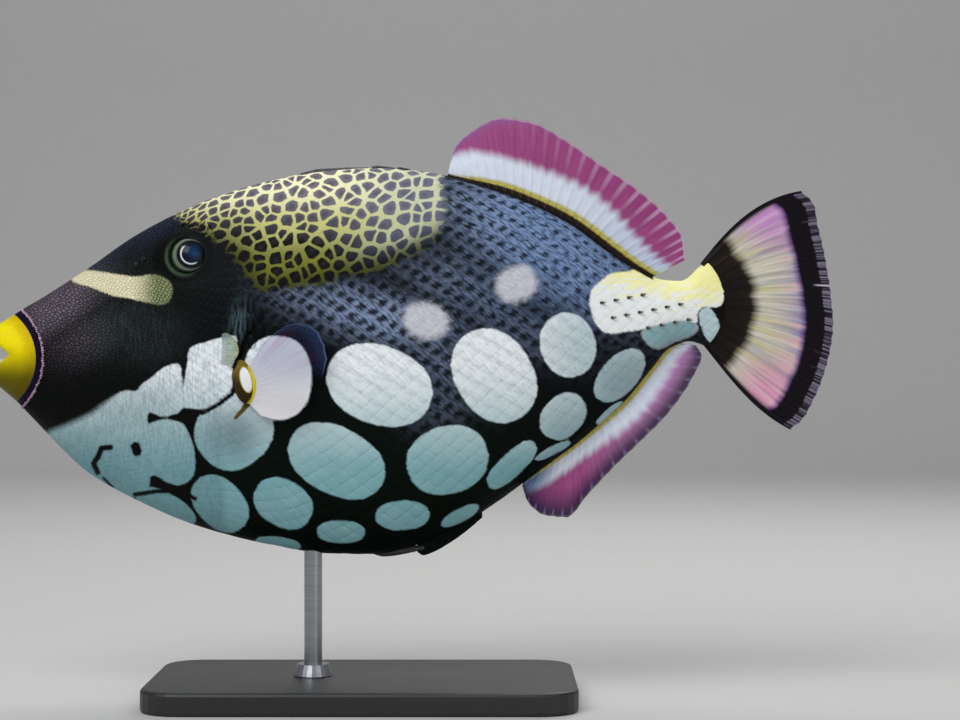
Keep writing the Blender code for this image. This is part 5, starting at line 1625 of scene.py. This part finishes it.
def ray_relief(ray, reach, forks=(0.5, 0.8)):
    """0 between the rays to 1 on them; each forks on its way to the margin."""
    first, second = forks
    one = np.cos(math.pi * (ray % 1.0 - 0.5)) ** 8
    two = np.abs(np.cos(math.pi * (2 * ray % 1.0 - 0.5))) ** 8
    four = np.abs(np.cos(math.pi * (4 * ray % 1.0 - 0.5))) ** 6
    early = smooth_step(reach, first - 0.12, first + 0.12)
    late = smooth_step(reach, second - 0.1, second + 0.1)
    return one * (1 - early) + two * early * (1 - late) + four * late


def grid(columns, rows):
    """Shares across and out over a grid of so many points."""
    return np.meshgrid(np.linspace(0, 1, columns), np.linspace(0, 1, rows), indexing="ij")


def fin_grid(rays, per_ray, rows):
    return grid(rays * per_ray + 1, rows + 1)


def margin_points(margin, share):
    """Where a fin's margin runs, along and up, at shares of its rays."""
    shares = np.linspace(0, 1, len(margin))
    return [Curve(list(zip(shares, values)))(share) for values in zip(*margin)]


def scalloped(ray, reach, depth):
    """How far the web reaches: a little short of the margin between the rays."""
    return 1 - depth * np.abs(np.sin(math.pi * ray)) ** 0.7 * reach**8


def back_fin(name, node, root_line, root_span, margin, rays, lean, wave, direction, material):
    """The second dorsal or the anal fin, bent to one side and rippling towards its margin."""
    looks = bpy.context.scene.triggerfish_fins
    s, v = fin_grid(rays, 10, looks.rows)
    tip_along, tip_up = margin_points(margin, s)
    root_along = root_span[0] + (root_span[1] - root_span[0]) * s
    root_up = root_line(root_along) - direction * FIN_SINK
    reach_along, reach_up = tip_along - root_along, tip_up - root_up
    span = np.hypot(reach_along, reach_up)
    ray = s * rays
    ragged = scalloped(ray, v, 0.012)
    out = span * (1 - np.cos(lean * v)) / lean + wave[0] * v * v * np.sin(2 * math.pi * wave[1] * s)
    middle = np.stack([root_along + reach_along * v * ragged, out, root_up + reach_up * v * ragged], axis=-1)
    relief = ray_relief(ray, v, (0.55, 0.85))
    web, rise = looks.web / MM, looks.ray / MM
    half = web * (1 - 0.4 * v) + rise * relief * (1 - 0.72 * v) + 1.2 * np.clip(1 - v / 0.16, 0, 1) ** 2
    piece = Piece(name)
    add_vane(piece, middle, half, {"share": s, "reach": v, "ray": ray, "span": span * v, "place": middle})
    return piece.finish(material, (node,))


def back_fin_material(name, lower):
    """White inside, magenta outside, a yellow line over a dark root of black base and painted shade; pale
    rays cross the magenta.
    """
    looks = bpy.context.scene.triggerfish_fins
    r = Recipe(name, subsurface_weight=0.06, specular_ior_level=0.15)
    share, reach, ray = r.value("share"), r.value("reach"), r.value("ray")
    span = r.value("span")
    fan = r.node("ShaderNodeCombineXYZ", {}, {0: ray, 1: reach})
    streak = r.noise(r.stretched(fan, 3.0, 0.9, 0.0), 1.0, 3.0)
    cloud = r.noise(r.stretched(fan, 0.6, 1.6, 0.0), 1.0, 2.0)
    patch = r.noise(r.vector("place"), 0.35, 3.0)
    on_ray = 0.5 - (ray * (2 * math.pi) + math.pi / 2).sine() * 0.5
    if lower:
        border = 8.6 - share.rise(0.1, 0.42) * 1.2 - share.rise(0.7, 1.0) * 1.6
        jagged = 0.2 + share.rise(0.05, 0.4) * 0.5
        dark_end, line_end = 0.2, 1.9
    else:
        border = 8.0 + share.rise(0.0, 0.2) * 5.4 - share.rise(0.6, 1.0) * 5.0
        jagged = 0.1 + share.rise(0.2, 0.8) * 1.5
        dark_end = 1.2 + share.rise(0.0, 0.35) * 1.2 - share.rise(0.8, 1.0) * 0.8
        line_end = dark_end + 0.6 + share.rise(0.0, 0.3) * 1.2
    frayed = span - border + (streak - 0.5) * 1.6 + (cloud - 0.5) * 1.4
    edge = (frayed - (on_ray - 0.5) * jagged).rise(-2.3, 2.3)
    inner = r.blend(patch * 0.5, looks.white, paint(180, 194, 226))
    deep = r.blend(streak, looks.magenta, paint(126, 44, 104))
    if lower:
        inner = r.blend(share.rise(0.26, 0.08) * 0.95, inner, paint(76, 114, 166))
        deep = r.blend(share.rise(0.34, 0.04) * 0.9, deep, paint(62, 26, 78))
        deep = r.blend(share.rise(0.3, 0.8) * 0.6, deep, paint(182, 136, 196))
    else:
        inner = r.blend(share.rise(0.45, 1.0) * 0.5, inner, paint(140, 156, 190))
        deep = r.blend(share.rise(0.34, 0.04) * 0.2, deep, paint(150, 66, 150))
    rays = (on_ray + (streak - 0.5) * 0.3).rise(0.6, 1.0) * share.rise(0.25, 0.85) * reach.rise(0.5, 0.95)
    outer = r.blend(rays * (0.3 if lower else 0.6), deep, looks.margin)
    base = r.blend(edge, inner, outer)
    if lower:
        base = r.blend(reach.rise(0.5, 0.96) * 0.94, base, paint(22, 20, 52))
        base = r.blend(reach.rise(0.84, 0.97) * on_ray.rise(0.8, 1.0) * 0.28, base, paint(150, 150, 196))
    else:
        base = r.blend(reach.rise(0.86, 0.985) * share.rise(0.55, 0.2) * 0.6, base, paint(126, 84, 146))
    base = r.blend(reach.rise(0.965, 0.99) * (0.1 if lower else 0.6), base, looks.margin)
    speckle = r.noise(r.vector("place"), 1.2, 2.0)
    line = (span - line_end + (streak - 0.5) * 1.0 + (speckle - 0.5) * 0.6).rise(0.9, -0.7)
    golden = r.blend(speckle.rise(0.35, 0.7) * 0.7, looks.base, paint(126, 116, 36))
    base = r.blend(line * (share.rise(0.0, 0.14) * 0.85 + 0.1), base, golden)
    # The dark root is partly the fin's black base and partly painted shade in its groove.
    dark = (span - dark_end + (streak - 0.5) * 0.8).rise(0.5, -0.4)
    base = r.blend(dark, base, r.blend(streak, paint(6, 5, 4), paint(30, 22, 8)))
    r.set(base_color=base, roughness=0.42 + streak * 0.15)
    joints = (span * 9.0).sine() * on_ray * 0.15
    r.bumped(streak + joints, 0.00014)
    return r.material


def build_back_fins():
    """The second dorsal fin and the anal fin."""
    back_fin("dorsal_vane", "soft_dorsal_fin", BACK, DORSAL_ROOT, DORSAL_MARGIN, DORSAL_RAYS, DORSAL_LEAN,
             DORSAL_WAVE, 1, back_fin_material("dorsal_web", False))
    back_fin("anal_vane", "anal_fin", BELLY, ANAL_ROOT, ANAL_MARGIN, ANAL_RAYS, ANAL_LEAN,
             ANAL_WAVE, -1, back_fin_material("anal_web", True))


def tail_material():
    """A dark root band, cream and pink rays, a black band and a pale margin."""
    looks = bpy.context.scene.triggerfish_fins
    r = Recipe("tail_web", subsurface_weight=0.06, specular_ior_level=0.12)
    share, radius, ray, relief = r.value("share"), r.value("radius"), r.value("ray"), r.value("relief")
    to_margin = r.value("to_margin")
    fan = r.node("ShaderNodeCombineXYZ", {}, {0: ray, 1: radius * 0.03})
    streak = r.noise(r.stretched(fan, 3.4, 1.0, 0.0), 1.0, 3.0)
    wide = r.noise(r.stretched(fan, 0.8, 0.5, 0.0), 1.0, 1.0)
    side = abs(share - 0.5) * 2.0
    outwards = radius.rise(36, 54)
    bands = r.noise(r.stretched(fan, 1.7, 0.5, 0.0), 1.0, 1.0)
    pink = r.blend(wide.rise(0.5, 0.36) * 0.6, looks.cream, paint(146, 150, 162))
    golden = bands.rise(0.5, 0.6) * (1 - outwards)
    pink = r.blend(golden * 0.6, pink, paint(200, 198, 120))
    rose = bands.rise(0.42, 0.6) * outwards * 0.85
    pink = r.blend(rose, pink, paint(216, 150, 176))
    violet = (outwards * side.rise(0.75, 0.1) * 0.6 + radius.rise(44, 50) * 0.35) * bands.rise(0.62, 0.42)
    pink = r.blend(violet, pink, paint(134, 112, 184))
    corner = side.rise(0.45, 0.85) * radius.rise(30, 48)
    pink = r.blend(corner, pink, r.blend(share.rise(0.4, 0.6), paint(228, 152, 186), paint(204, 140, 206)))
    base = r.blend(relief * 0.25 + streak.rise(0.5, 0.7) * 0.2, pink, paint(232, 226, 216))
    base = r.blend(streak.rise(0.56, 0.36) * 0.35, base, paint(120, 112, 120))
    inner_edge = to_margin + (streak - 0.5) * 2.4
    base = r.blend(inner_edge.rise(13.0, 10.0) * 0.9, base, paint(64, 34, 116))
    base = r.blend((to_margin + (streak - 0.5) * 1.4).rise(11.0, 9.6), base, looks.tail_dark)
    root = (radius + (streak - 0.5) * 3.0 + (wide - 0.5) * 5.0 + side * 1.6).rise(35.6, 31.0)
    base = r.blend(root, base, r.blend(wide, paint(4, 5, 4), paint(24, 23, 18)))
    base = r.blend(side.rise(0.93, 0.97), base, paint(8, 4, 16))
    ticks = r.noise(r.stretched(fan, 11.0, 0.3, 0.0), 1.0, 1.0).rise(0.44, 0.58)
    margin_edge = (to_margin + (streak - 0.5) * 0.7 - ticks * 0.3).rise(3.2, 2.7)
    margin = r.blend(ticks * 0.6, paint(24, 18, 30), paint(132, 126, 158))
    margin = r.blend(to_margin.rise(0.4, 0.1) * 0.5, margin, paint(110, 106, 146))
    base = r.blend(margin_edge * side.rise(1.0, 0.97), base, margin)
    stray = ticks * bands.rise(0.62, 0.68) * to_margin.rise(6.5, 4.0)
    base = r.blend(stray * 0.8, base, paint(196, 186, 206))
    r.set(base_color=base, roughness=0.42 + streak * 0.15)
    r.bumped(streak + (radius * 8.0).sine() * relief * 0.15, 0.00014)
    return r.material


def build_tail():
    """The tail fin, fanned from a hub in the tail stalk."""
    looks = bpy.context.scene.triggerfish_fins
    share, v = fin_grid(TAIL_RAYS, 24, looks.rows + 20)
    s = 2 * share - 1
    reach = Curve(TAIL_REACH)(s)
    start = TAIL_ROOT_RADIUS - 1.6
    ray = share * TAIL_RAYS
    ragged = 1 - 0.006 * np.abs(np.sin(2 * math.pi * ray)) ** 0.6 * v**10
    radius = start + (reach * ragged - start) * v
    root = TAIL_ROOT_ANGLES[0] + (TAIL_ROOT_ANGLES[1] - TAIL_ROOT_ANGLES[0]) * share
    tip = TAIL_TIP_ANGLES[0] + (TAIL_TIP_ANGLES[1] - TAIL_TIP_ANGLES[0]) * share
    angle = root + (tip - root) * v**1.4 + TAIL_BOW * s**3 * 4 * v * (1 - v)
    sway = TAIL_SWAY * v * v * (1 - 0.8 * s * s)
    along, up = TAIL_HUB[0] + radius * np.cos(angle), TAIL_HUB[1] + radius * np.sin(angle)
    relief = ray_relief(ray, v, (0.42, 0.74))
    web, rise = looks.web / MM, looks.ray / MM
    half = web * (1 - 0.4 * v) + 1.2 * rise * relief * (1 - 0.7 * v)
    half += (2.5 * np.sqrt(np.clip(1 - s * s, 0, 1)) + 0.05) * np.clip(1 - v / 0.3, 0, 1) ** 1.6
    fields = {"share": share, "radius": radius, "ray": ray, "relief": relief}
    fields["to_margin"] = reach * ragged - radius
    piece = Piece("tail_vane")
    add_vane(piece, np.stack([along, sway, up], axis=-1), half, fields)
    return piece.finish(tail_material(), ("tail_fin",))


def breast_material():
    """A thin web: white over the pale spot of the flank, dark blue and clearer past it, with fine rays."""
    r = Recipe("breast_web", specular_ior_level=0.1)
    reach, ray, relief = r.value("reach"), r.value("ray"), r.value("relief")
    fan = r.node("ShaderNodeCombineXYZ", {}, {0: ray, 1: reach * 0.3})
    streak = r.noise(r.stretched(fan, 1.6, 1.0, 0.0), 1.0, 2.0)
    up = r.part(r.vector("place"), 2)
    shown = (r.value("spot") + (streak - 0.5) * 0.8).rise(0.4, -0.6)
    white = r.blend(up.rise(-16, 4), paint(232, 230, 234), paint(206, 212, 232))
    white = r.blend(streak.rise(0.42, 0.62) * up.rise(-8, 6) * 0.5, white, paint(196, 168, 190))
    white = r.blend(relief * 0.06, white, paint(244, 243, 246))
    navy = r.blend(streak.rise(0.4, 0.6), paint(14, 24, 48), paint(42, 22, 44))
    navy = r.blend(relief * 0.15 + reach.rise(0.78, 0.95) * 0.5, navy, paint(44, 66, 104))
    base = r.blend(shown, navy, white)
    edge = reach.rise(0.965, 0.99)
    base = r.blend(edge * 0.6, base, paint(96, 122, 170))
    lobe = r.value("fleshy")
    inside = r.value("root").rise(0.6, 0.2)
    base = r.blend(lobe * inside, base, flesh_colour(r, up))
    dim = up.rise(-7, 2)
    clear = shown * 0.76 + (1 - shown) * dim * 0.58 + edge * dim * 0.25
    r.set(base_color=base, roughness=0.5 + streak * 0.1, alpha=clear.most(lobe).least(1.0))
    r.bumped(relief * 0.12, 0.00004)
    return r.material


def build_breast_fins():
    """Both breast fins, each a cupped fan on its fleshy root."""
    looks = bpy.context.scene.triggerfish_fins
    material = breast_material()
    deep, tall = BREAST_ROOT_ARC
    root_out = float(FLANK.reach(np.array(BREAST_ROOT[0]), np.array(BREAST_ROOT[1])))
    for side, name in ((-1, "left"), (1, "right")):
        s, v = fin_grid(BREAST_RAYS, 12, looks.rows)
        turn = BREAST_ROOT_TURN * (2 * s - 1)
        root = np.stack([deep * np.cos(turn), tall * np.sin(turn)], axis=-1)
        ray = s * BREAST_RAYS
        reach = np.stack(margin_points(BREAST_MARGIN, s), axis=-1) - root
        span = np.linalg.norm(reach, axis=-1)
        away = root_out + 1.3 + span * v * math.tan(BREAST_SPREAD) - BREAST_CUP * v * np.cos(turn)
        away = away + 0.35 * np.sin(2 * math.pi * ray / 3.5) * v * v
        flat = np.array(BREAST_ROOT) + root + reach * (v * scalloped(ray, v, 0.014))[..., None]
        middle = np.stack([flat[..., 0], side * away, flat[..., 1]], axis=-1)
        relief = ray_relief(ray, v, (0.5, 0.84))
        half = looks.web / MM * (0.8 - 0.3 * v) + 0.2 * looks.ray / MM * relief * (1 - 0.7 * v)
        half += 0.6 * np.clip(1 - v / 0.2, 0, 1) ** 1.5
        piece = Piece(f"breast_vane_{name}")
        along, up = drawn(middle.reshape(-1, 3))
        fields = {"reach": v, "ray": ray, "relief": relief, "place": middle, **flesh_marks(along, up)}
        fields["fleshy"] = np.clip(1 - v / 0.09, 0, 1)
        fields["spot"] = spot_distance(along, up, BREAST_SPOT)
        add_vane(piece, middle, half, fields)
        add_lobe(piece, side)
        piece.finish(material, (f"breast_fin_{name}",))


def add_lobe(piece, side):
    """The fleshy root of a breast fin on the flank."""
    centre, _ = FLANK.spot(*BREAST_ROOT, side)
    centre = centre + (0.2, 0.0, 0.0)
    first, second, third = np.diag(np.array(BREAST_LOBE) * 0.98)
    spokes = wheel(first, second, 40)
    angles = np.radians(np.linspace(2, 178, 40))
    points, faces = tube([centre + spokes * math.sin(a) + third * math.cos(a) for a in angles])
    along, up = drawn(points)
    fields = {"fleshy": 1.0, "place": points, "spot": -3.0, **flesh_marks(along, up)}
    piece.add(points, faces, fields)


def flesh_marks(along, up):
    """The brown root of a breast fin, the pale oval in it and the yellow crescent behind it."""
    root = spot_distance(along, up, FIN_ROOT)
    return {
        "oval": spot_distance(along, up, FIN_OVAL),
        "root": root,
        "crescent": np.abs(root + 0.4) + 0.7 * np.clip(-56.6 - along, 0.0, 9.0) - 0.75,
    }


def build_gill_flaps():
    """The soft edge of skin that covers each gill opening."""
    r = Recipe("gill_flap_skin", coat_weight=0.2, subsurface_weight=0.1)
    reach, share = r.value("reach"), r.value("share")
    streak = r.noise(r.node("ShaderNodeCombineXYZ", {}, {0: share * 20.0, 1: reach * 3.0}), 1.0, 4.0)
    base = r.blend(streak.rise(0.35, 0.7), paint(150, 166, 146), paint(178, 192, 176))
    base = r.blend(share.rise(0.3, 0.05) * 0.8, base, paint(96, 116, 122))
    base = r.blend(reach.rise(0.45, 0.0) * share.rise(0.1, 0.4), base, paint(196, 206, 214))
    base = r.blend(reach.rise(0.86, 1.0) * 0.8, base, paint(150, 140, 40))
    r.set(base_color=base, roughness=0.4 + streak * 0.1)
    r.bumped(streak, 0.0003)
    top, bottom, wide = GILL_FLAP
    for side, name in ((-1, "left"), (1, "right")):
        s, v = grid(40, 24)
        bulge = np.sin(math.pi * s) ** 0.6
        along = top[0] + (bottom[0] - top[0]) * s + v * wide * (0.3 + 0.7 * bulge) * (0.75 + 0.35 * s)
        up = top[1] + (bottom[1] - top[1]) * s + 1.2 * v * (0.5 - s)
        out = FLANK.reach(along, up) + 0.12 + 0.55 * v * bulge + 0.07 * np.sin(s * 26 + 2 * v) * v
        middle = np.stack([along, side * (out - 0.9 * (1 - smooth_step(v, 0.0, 0.25))), up], axis=-1)
        piece = Piece(f"gill_flap_{name}")
        add_vane(piece, middle, np.full(s.shape, 0.16), {"share": s, "reach": v, "place": middle})
        piece.finish(r.material)


def build_pelvic_spine():
    """The rough spine that ends the pelvis, with its barbs."""
    start, end, radius = PELVIC_SPINE
    share = np.linspace(0, 1, 36)

    def axis_point(t):
        along = start + (end - start) * t
        return np.array([along, 0.0, float(BELLY(np.array(along))) + 0.5 + 1.2 * (1 - t) ** 2 - 1.9 * t * t])

    radii = radius * np.minimum(1.0, 0.5 + 2.2 * share) * (1 - 0.6 * share * share)
    made, faces = tube(rod_rings([axis_point(t) for t in share], radii, 20))
    piece = Piece("pelvic_spine_bone")
    piece.add(made, faces, {"place": made, "tip": np.repeat(share * 0.5, 20)})
    for row in (-1.5, -0.75, 0.0, 0.75, 1.5):
        for k in range(9):
            t = 0.25 + 0.68 * k / 8 + 0.02 * row
            turn = math.radians(52) * row
            outward = unit(np.array([0.9, math.sin(turn), -math.cos(turn)]))
            level = unit(np.cross(outward, (0.3, 1.0, 0.2)))
            spokes = wheel(level, np.cross(outward, level), 8)
            size = 1.0 - 0.3 * t
            rings = [
                axis_point(t) + outward * reach * size + spokes * wide * size
                for reach, wide in ((0.2, 0.6), (1.0, 0.52), (1.6, 0.34), (2.1, 0.08))
            ]
            points, sides = tube(rings)
            piece.add(points, sides, {"place": points, "tip": np.repeat([0.1, 0.3, 0.7, 1.0], 8)})
    piece.finish(spine_material(), ("pelvic_spine",))


def build_pelvic_flap():
    """The flap of skin behind the pelvic spine, rippled and ribbed."""
    s, v = grid(90, 20)
    along = PELVIC_FLAP[0][0] + (PELVIC_FLAP[-1][0] - PELVIC_FLAP[0][0]) * s
    root = BELLY(along) + FIN_SINK
    up = root + (Curve(PELVIC_FLAP)(along) - root) * v
    middle = np.stack([along, 0.12 * np.sin(s * 50) * v, up], axis=-1)
    half = 0.42 - 0.22 * v + 0.1 * np.cos(math.pi * (12 * s % 1.0 - 0.5)) ** 6
    unwrapped = np.stack([middle[..., 0].ravel(), middle[..., 2].ravel()], axis=-1)
    fields = {**markings(middle.reshape(-1, 3), unwrapped), "rim": np.full(s.size, 0.8)}
    flap = Piece("pelvic_flap_skin")
    add_vane(flap, middle, half, fields)
    flap.finish(fish_material("fish_flap", False), ("pelvic_flap",))


def dress_stand():
    """Finishes for the base and the rod, whose solids stay."""
    looks = bpy.context.scene.triggerfish_stand
    r = Recipe("painted_base", coat_weight=0.15, coat_roughness=0.3)
    where = r.node("ShaderNodeTexCoord", {}, output=3)
    speckle = r.noise(where, 2600.0, 4.0)
    cloud = r.noise(where, 40.0, 3.0)
    base = r.blend(speckle.rise(0.45, 0.7) * 0.5, looks.base, paint(46, 46, 50))
    r.set(base_color=base, roughness=0.42 + cloud * 0.16)
    r.bumped(speckle, 0.00006)
    steel = Recipe("brushed_rod", metallic=1.0)
    where = steel.node("ShaderNodeTexCoord", {}, output=3)
    brushed = steel.noise(steel.stretched(where, 40.0, 40.0, 2200.0), 1.0, 4.0)
    shade = steel.blend(brushed, looks.rod, paint(138, 140, 146))
    steel.set(base_color=shade, roughness=0.22 + brushed * 0.18)
    steel.bumped(brushed, 0.00003)
    for node, material in (("stand_base", r.material), ("stand_rod", steel.material)):
        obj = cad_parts[node]
        for slot in obj.material_slots:
            slot.material = material


def area_light(name, energy, size, location, target):
    """A soft light of some size in metres, turned to its target."""
    light = bpy.data.lights.new(name, "AREA")
    light.energy = energy
    light.shape = "RECTANGLE"
    light.size, light.size_y = size
    made = bpy.data.objects.new(name, light)
    made.location = location
    made.rotation_mode = "QUATERNION"
    made.rotation_quaternion = (Vector(target) - Vector(location)).to_track_quat("-Z", "Y")
    bpy.context.scene.collection.objects.link(made)


def build_studio():
    """Floor that sweeps up behind, soft lights, a dim sky and the camera at the photo's place."""
    looks = bpy.context.scene.triggerfish_studio
    depth, radius, top, wide, columns = 1.6, 0.5, 2.6, 3.0, 9
    bend = np.radians(np.linspace(0, 90, 25))
    profile = [(-2.2, 0.0), (-0.6, 0.0)]
    profile += [(depth + radius * math.sin(a), radius * (1 - math.cos(a))) for a in bend]
    profile += [(depth + radius, top)]
    points = [(float(x), y, z) for x in np.linspace(-wide, wide, columns) for y, z in profile]
    mesh = bpy.data.meshes.new("floor_sweep")
    mesh.from_pydata(points, [], quads(columns, len(profile)).tolist())
    mesh.shade_smooth()
    r = Recipe("floor_paper", roughness=0.8)
    where = r.node("ShaderNodeTexCoord", {}, output=3)
    grain = r.noise(where, 60.0, 4.0)
    r.set(base_color=r.blend(grain * 0.25, looks.floor, paint(188, 188, 186)))
    mesh.materials.append(r.material)
    floor = bpy.data.objects.new("floor_sweep", mesh)
    bpy.context.scene.collection.objects.link(floor)

    area_light("key_light", looks.key, (0.9, 0.7), (-0.45, -0.75, 0.95), (0.0, 0.0, 0.12))
    area_light("fill_light", looks.fill, (0.9, 0.9), (0.75, -0.9, 0.35), (0.0, 0.0, 0.1))
    area_light("rear_light", looks.rear, (1.0, 0.6), (0.35, 0.7, 0.95), (0.0, 0.0, 0.12))
    area_light("wall_light", looks.wall, (2.4, 0.5), (0.0, 0.7, 2.1), (0.0, 2.1, 0.6))
    world = bpy.data.worlds.new("studio_sky")
    world.use_nodes = True
    sky = world.node_tree.nodes["Background"]
    sky.inputs["Color"].default_value = (0.93, 0.96, 1.0, 1.0)
    sky.inputs["Strength"].default_value = looks.sky
    bpy.context.scene.world = world
    bpy.context.scene.view_settings.view_transform = "Standard"

    lens = bpy.data.cameras.new("camera")
    lens.lens, lens.sensor_width = looks.lens, looks.sensor
    lens.clip_start, lens.clip_end = 0.01, 20.0
    camera = bpy.data.objects.new("camera", lens)
    camera.location = (looks.camera_along, -looks.camera_back, looks.camera_height)
    camera.rotation_euler = (math.pi / 2, 0.0, 0.0)
    bpy.context.scene.collection.objects.link(camera)
    bpy.context.scene.camera = camera


class TRIGGERFISH_OT_skin(Operator):
    """Makes the skin of the head, body and lips, with orbits and nostrils"""

    bl_idname = "triggerfish.skin"
    bl_label = "Skin"

    def execute(self, context):
        build_skin()
        return {"FINISHED"}


class TRIGGERFISH_OT_scales(Operator):
    """Covers the skin with scales, scutes and the beads behind the lips"""

    bl_idname = "triggerfish.scales"
    bl_label = "Scales"

    def execute(self, context):
        build_scales()
        return {"FINISHED"}


class TRIGGERFISH_OT_thorns(Operator):
    """Sets the small thorns on the tail stalk"""

    bl_idname = "triggerfish.thorns"
    bl_label = "Thorns"

    def execute(self, context):
        build_thorns()
        return {"FINISHED"}


class TRIGGERFISH_OT_teeth(Operator):
    """Makes the teeth of both jaws"""

    bl_idname = "triggerfish.teeth"
    bl_label = "Teeth"

    def execute(self, context):
        build_teeth()
        return {"FINISHED"}


class TRIGGERFISH_OT_eyes(Operator):
    """Makes the eyeballs"""

    bl_idname = "triggerfish.eyes"
    bl_label = "Eyes"

    def execute(self, context):
        build_eyes()
        return {"FINISHED"}


class TRIGGERFISH_OT_gill_flaps(Operator):
    """Makes the soft flaps over the gill openings"""

    bl_idname = "triggerfish.gill_flaps"
    bl_label = "Gill flaps"

    def execute(self, context):
        build_gill_flaps()
        return {"FINISHED"}


class TRIGGERFISH_OT_dorsal_spines(Operator):
    """Makes the folded dorsal spines"""

    bl_idname = "triggerfish.dorsal_spines"
    bl_label = "Dorsal spines"

    def execute(self, context):
        build_dorsal_spines()
        return {"FINISHED"}


class TRIGGERFISH_OT_back_fins(Operator):
    """Makes the second dorsal fin and the anal fin"""

    bl_idname = "triggerfish.back_fins"
    bl_label = "Dorsal and anal fins"

    def execute(self, context):
        build_back_fins()
        return {"FINISHED"}


class TRIGGERFISH_OT_tail(Operator):
    """Makes the tail fin"""

    bl_idname = "triggerfish.tail"
    bl_label = "Tail fin"

    def execute(self, context):
        build_tail()
        return {"FINISHED"}


class TRIGGERFISH_OT_breast_fins(Operator):
    """Makes the two breast fins and their fleshy roots"""

    bl_idname = "triggerfish.breast_fins"
    bl_label = "Breast fins"

    def execute(self, context):
        build_breast_fins()
        return {"FINISHED"}


class TRIGGERFISH_OT_pelvic_parts(Operator):
    """Makes the pelvic spine and the flap behind it"""

    bl_idname = "triggerfish.pelvic_parts"
    bl_label = "Pelvic spine and flap"

    def execute(self, context):
        build_pelvic_spine()
        build_pelvic_flap()
        return {"FINISHED"}


class TRIGGERFISH_OT_stand(Operator):
    """Gives the display stand its finishes"""

    bl_idname = "triggerfish.stand"
    bl_label = "Stand"

    def execute(self, context):
        dress_stand()
        return {"FINISHED"}


class TRIGGERFISH_OT_studio(Operator):
    """Sets up the floor, the lights and the camera"""

    bl_idname = "triggerfish.studio"
    bl_label = "Studio"

    def execute(self, context):
        build_studio()
        return {"FINISHED"}


OPERATORS = (
    TRIGGERFISH_OT_skin,
    TRIGGERFISH_OT_scales,
    TRIGGERFISH_OT_thorns,
    TRIGGERFISH_OT_teeth,
    TRIGGERFISH_OT_eyes,
    TRIGGERFISH_OT_gill_flaps,
    TRIGGERFISH_OT_dorsal_spines,
    TRIGGERFISH_OT_back_fins,
    TRIGGERFISH_OT_tail,
    TRIGGERFISH_OT_breast_fins,
    TRIGGERFISH_OT_pelvic_parts,
    TRIGGERFISH_OT_stand,
    TRIGGERFISH_OT_studio,
)
LOOKS = {
    "triggerfish_body": BodyLooks,
    "triggerfish_colours": BodyColours,
    "triggerfish_fins": FinLooks,
    "triggerfish_stand": StandLooks,
    "triggerfish_studio": StudioLooks,
}


class TRIGGERFISH_PT_panel(Panel):
    """Lists the pieces of the fish and the stage in the sidebar"""

    bl_idname = "TRIGGERFISH_PT_panel"
    bl_label = "Clown triggerfish"
    bl_space_type = "VIEW_3D"
    bl_region_type = "UI"
    bl_category = "Triggerfish"

    def draw(self, context):
        for operator in OPERATORS:
            self.layout.operator(operator.bl_idname)
        for name, group in LOOKS.items():
            box = self.layout.box()
            for field in group.__annotations__:
                box.prop(getattr(context.scene, name), field)


def register():
    for group in LOOKS.values():
        bpy.utils.register_class(group)
    for operator in OPERATORS:
        bpy.utils.register_class(operator)
    bpy.utils.register_class(TRIGGERFISH_PT_panel)
    for name, group in LOOKS.items():
        setattr(bpy.types.Scene, name, PointerProperty(type=group))


def unregister():
    for name in LOOKS:
        delattr(bpy.types.Scene, name)
    bpy.utils.unregister_class(TRIGGERFISH_PT_panel)
    for operator in reversed(OPERATORS):
        bpy.utils.unregister_class(operator)
    for group in reversed(LOOKS.values()):
        bpy.utils.unregister_class(group)


def main():
    register()
    for operator in OPERATORS:
        group, name = operator.bl_idname.split(".")
        getattr(getattr(bpy.ops, group), name)()


if __name__ == "__main__":
    main()
